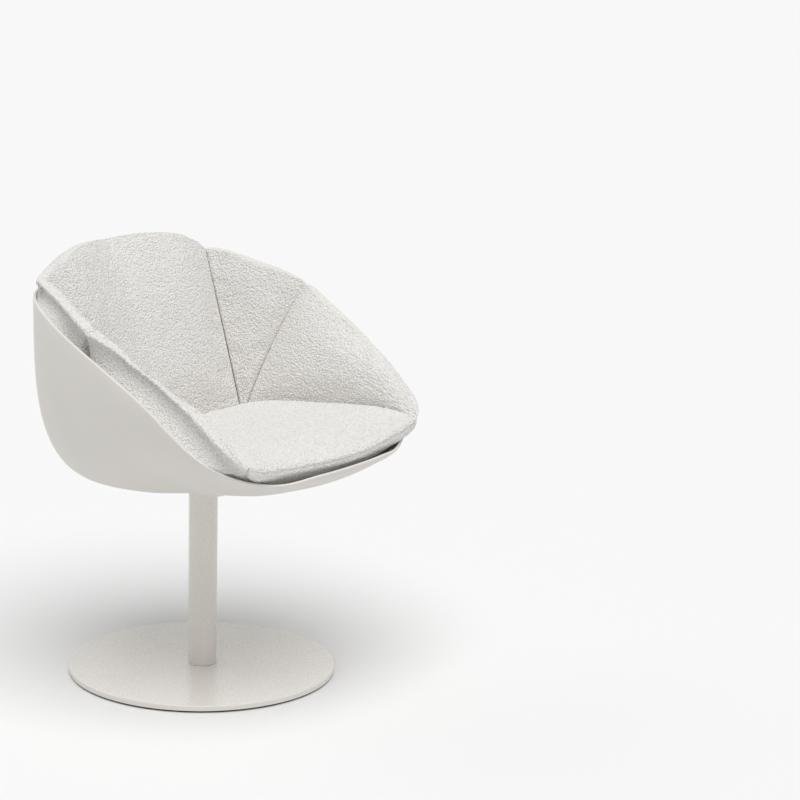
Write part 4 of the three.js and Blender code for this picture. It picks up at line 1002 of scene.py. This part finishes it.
# %% Stuff the pads
FRAMES, CAP, SEWN_RIM = 20, 3.0, 3
CLOTH = {
    "vertex_group_mass": "sewn", "use_pressure": True, "uniform_pressure_force": 4.0, "shrink_min": -0.002,
    "quality": 6, "mass": 0.3, "tension_stiffness": 60, "compression_stiffness": 60, "bending_stiffness": 30,
}


def read(values, key, width=3):
    """One value of every point of a mesh, as an array of rows."""
    flat = np.empty(len(values) * width, np.float32)
    values.foreach_get(key, flat)
    return flat.reshape(-1, width).astype(float)


def move_points(mesh, points):
    mesh.vertices.foreach_set("co", points.astype(np.float32).ravel())
    mesh.update()


def start_stuffing(pad):
    piece, (rows, columns) = pad["piece"], pad["face"]
    free = np.arange(rows * columns).reshape(rows, columns)[SEWN_RIM:-SEWN_RIM, SEWN_RIM:-SEWN_RIM]
    sewn = np.setdiff1d(np.arange(len(piece.data.vertices)), free)
    piece.vertex_groups.new(name="sewn").add(sewn.tolist(), 1.0, "REPLACE")
    cloth = piece.modifiers.new("stuffing", "CLOTH")
    cloth.settings.effector_weights.gravity = 0
    for key, value in CLOTH.items():
        setattr(cloth.settings, key, value)
    cloth.point_cache.frame_start, cloth.point_cache.frame_end = 1, FRAMES


def finish_stuffing(pad, graph):
    piece = pad["piece"]
    start = read(piece.data.vertices, "co")
    move = read(piece.evaluated_get(graph).data.vertices, "co") - start
    far = length(move)
    move *= (np.minimum(far, CAP * MM) / np.maximum(far, 1e-9))[:, None]
    piece.modifiers.clear()
    piece.vertex_groups.clear()
    move_points(piece.data, start + move)
    print(piece.name, "swelled by up to", round(far.max() * 1000, 1), "mm")


for pad in pads.values():
    start_stuffing(pad)
for step in range(1, FRAMES + 1):
    bpy.context.scene.frame_set(step)
evaluated = bpy.context.evaluated_depsgraph_get()
for pad in pads.values():
    finish_stuffing(pad, evaluated)
bpy.context.scene.frame_set(1)

# %% [markdown]
# ## Nubs
# Two levels of subdivision bring the pads to about two millimetres between points. Then every point moves
# along its normal by a field of nubs: each cell of a lattice holds one loop of yarn at a place of its
# own, and the height falls off as 1 - (distance / reach)^2. The places come from a hash of the cell's
# number, so the field is the same at each run.

# %% Boucle relief
NUB, NUB_HEIGHT, NUB_REACH = 3.6, 1.5, 0.66
SUBDIVISIONS = 2
HASH = np.array([73856093, 19349663, 83492791], dtype=np.int64)
SALT_PRIME, MIXING_PRIME, LOW_BITS = 668265263, 1274126177, 0xFFFFFF


def hashed(cells, salt):
    """A number from 0 to 1 for each cell and salt."""
    mixed = (cells * HASH).sum(axis=1) + salt * SALT_PRIME
    mixed = (mixed ^ (mixed >> 13)) * MIXING_PRIME
    return ((mixed ^ (mixed >> 16)) & LOW_BITS) / LOW_BITS


def nub_height(points, spacing):
    cells = np.floor(points / spacing).astype(np.int64)
    nearest = np.full(len(points), np.inf)
    for step in itertools.product((-1, 0, 1), repeat=3):
        cell = cells + step
        place = cell + np.stack([hashed(cell, salt) for salt in (1, 2, 3)], axis=1)
        nearest = np.minimum(nearest, ((points / spacing - place) ** 2).sum(axis=1))
    return np.clip(1 - nearest / NUB_REACH**2, 0, 1)


def with_nubs(piece):
    """Subdivides a pad for good and raises its nubs."""
    divide = piece.modifiers.new("divide", "SUBSURF")
    divide.levels = divide.render_levels = SUBDIVISIONS
    graph = bpy.context.evaluated_depsgraph_get()
    mesh = bpy.data.meshes.new_from_object(piece.evaluated_get(graph))
    piece.modifiers.clear()
    old, piece.data = piece.data, mesh
    bpy.data.meshes.remove(old)
    mesh.name = piece.name
    points, normals = read(mesh.vertices, "co"), read(mesh.vertices, "normal")
    share = read(mesh.attributes["nub"].data, "value", 1)
    mesh.attributes.remove(mesh.attributes["nub"])
    height = NUB_HEIGHT * MM * (nub_height(points, NUB * MM)[:, None] - 0.5) * share
    move_points(mesh, points + normals * height)
    print(piece.name, len(mesh.polygons), "faces")


for pad in pads.values():
    with_nubs(pad["piece"])

# %% [markdown]
# ## Floor and light
# The chair stands on a plain pale floor under a broad soft light from above and a little from its right.
# A second, weak light comes low from behind, and an even light comes from all round. The levels are set
# so that a colour renders about as it is written.

# %% Stage
FLOOR_HALF, FLOOR_DROP = 60.0, -0.0004
WORLD_LIGHT, WORLD_SEEN = 0.43, 0.90
LAMPS = {
    "key": (2.25, 50.0, np.array([-0.24, -0.30, 1.0])),
    "low_fill": (0.34, 50.0, np.array([-0.10, 1.00, 0.50])),
}

floor_mesh = bpy.data.meshes.new("floor")
corners = np.array([[-1, -1], [1, -1], [1, 1], [-1, 1]]) * FLOOR_HALF
floor_mesh.from_pydata([(x, y, FLOOR_DROP) for x, y in corners], [], [(0, 1, 2, 3)])
floor = in_scene("floor", floor_mesh)
pale = {"Roughness": 0.9, "Base_Color": (0.82, 0.82, 0.82, 1), "Specular_IOR_Level": 0.0}
floor.data.materials.append(Finish(bpy.data.materials.new("pale_floor"), **pale).owner)

sky = Finish(bpy.data.worlds.new("studio"), "Background", Color=(1, 1, 1, 1))
bpy.context.scene.world = sky.owner
seen = sky.node("LightPath", output="Is Camera Ray")
for ray in ("Is Glossy Ray", "Is Transmission Ray"):
    seen = seen.math("MAXIMUM", seen, sky.node("LightPath", output=ray))
sky.set(Strength=sky.node("MapRange", None, {"Value": seen, "To Min": WORLD_LIGHT, "To Max": WORLD_SEEN}))

for name, (level, angle, source) in LAMPS.items():
    lamp = bpy.data.lights.new(name, "SUN")
    lamp.energy, lamp.angle = level, math.radians(angle)
    in_scene(name, lamp).rotation_euler = Vector(source).to_track_quat("Z", "Y").to_euler()
    print(name, "light from", source)
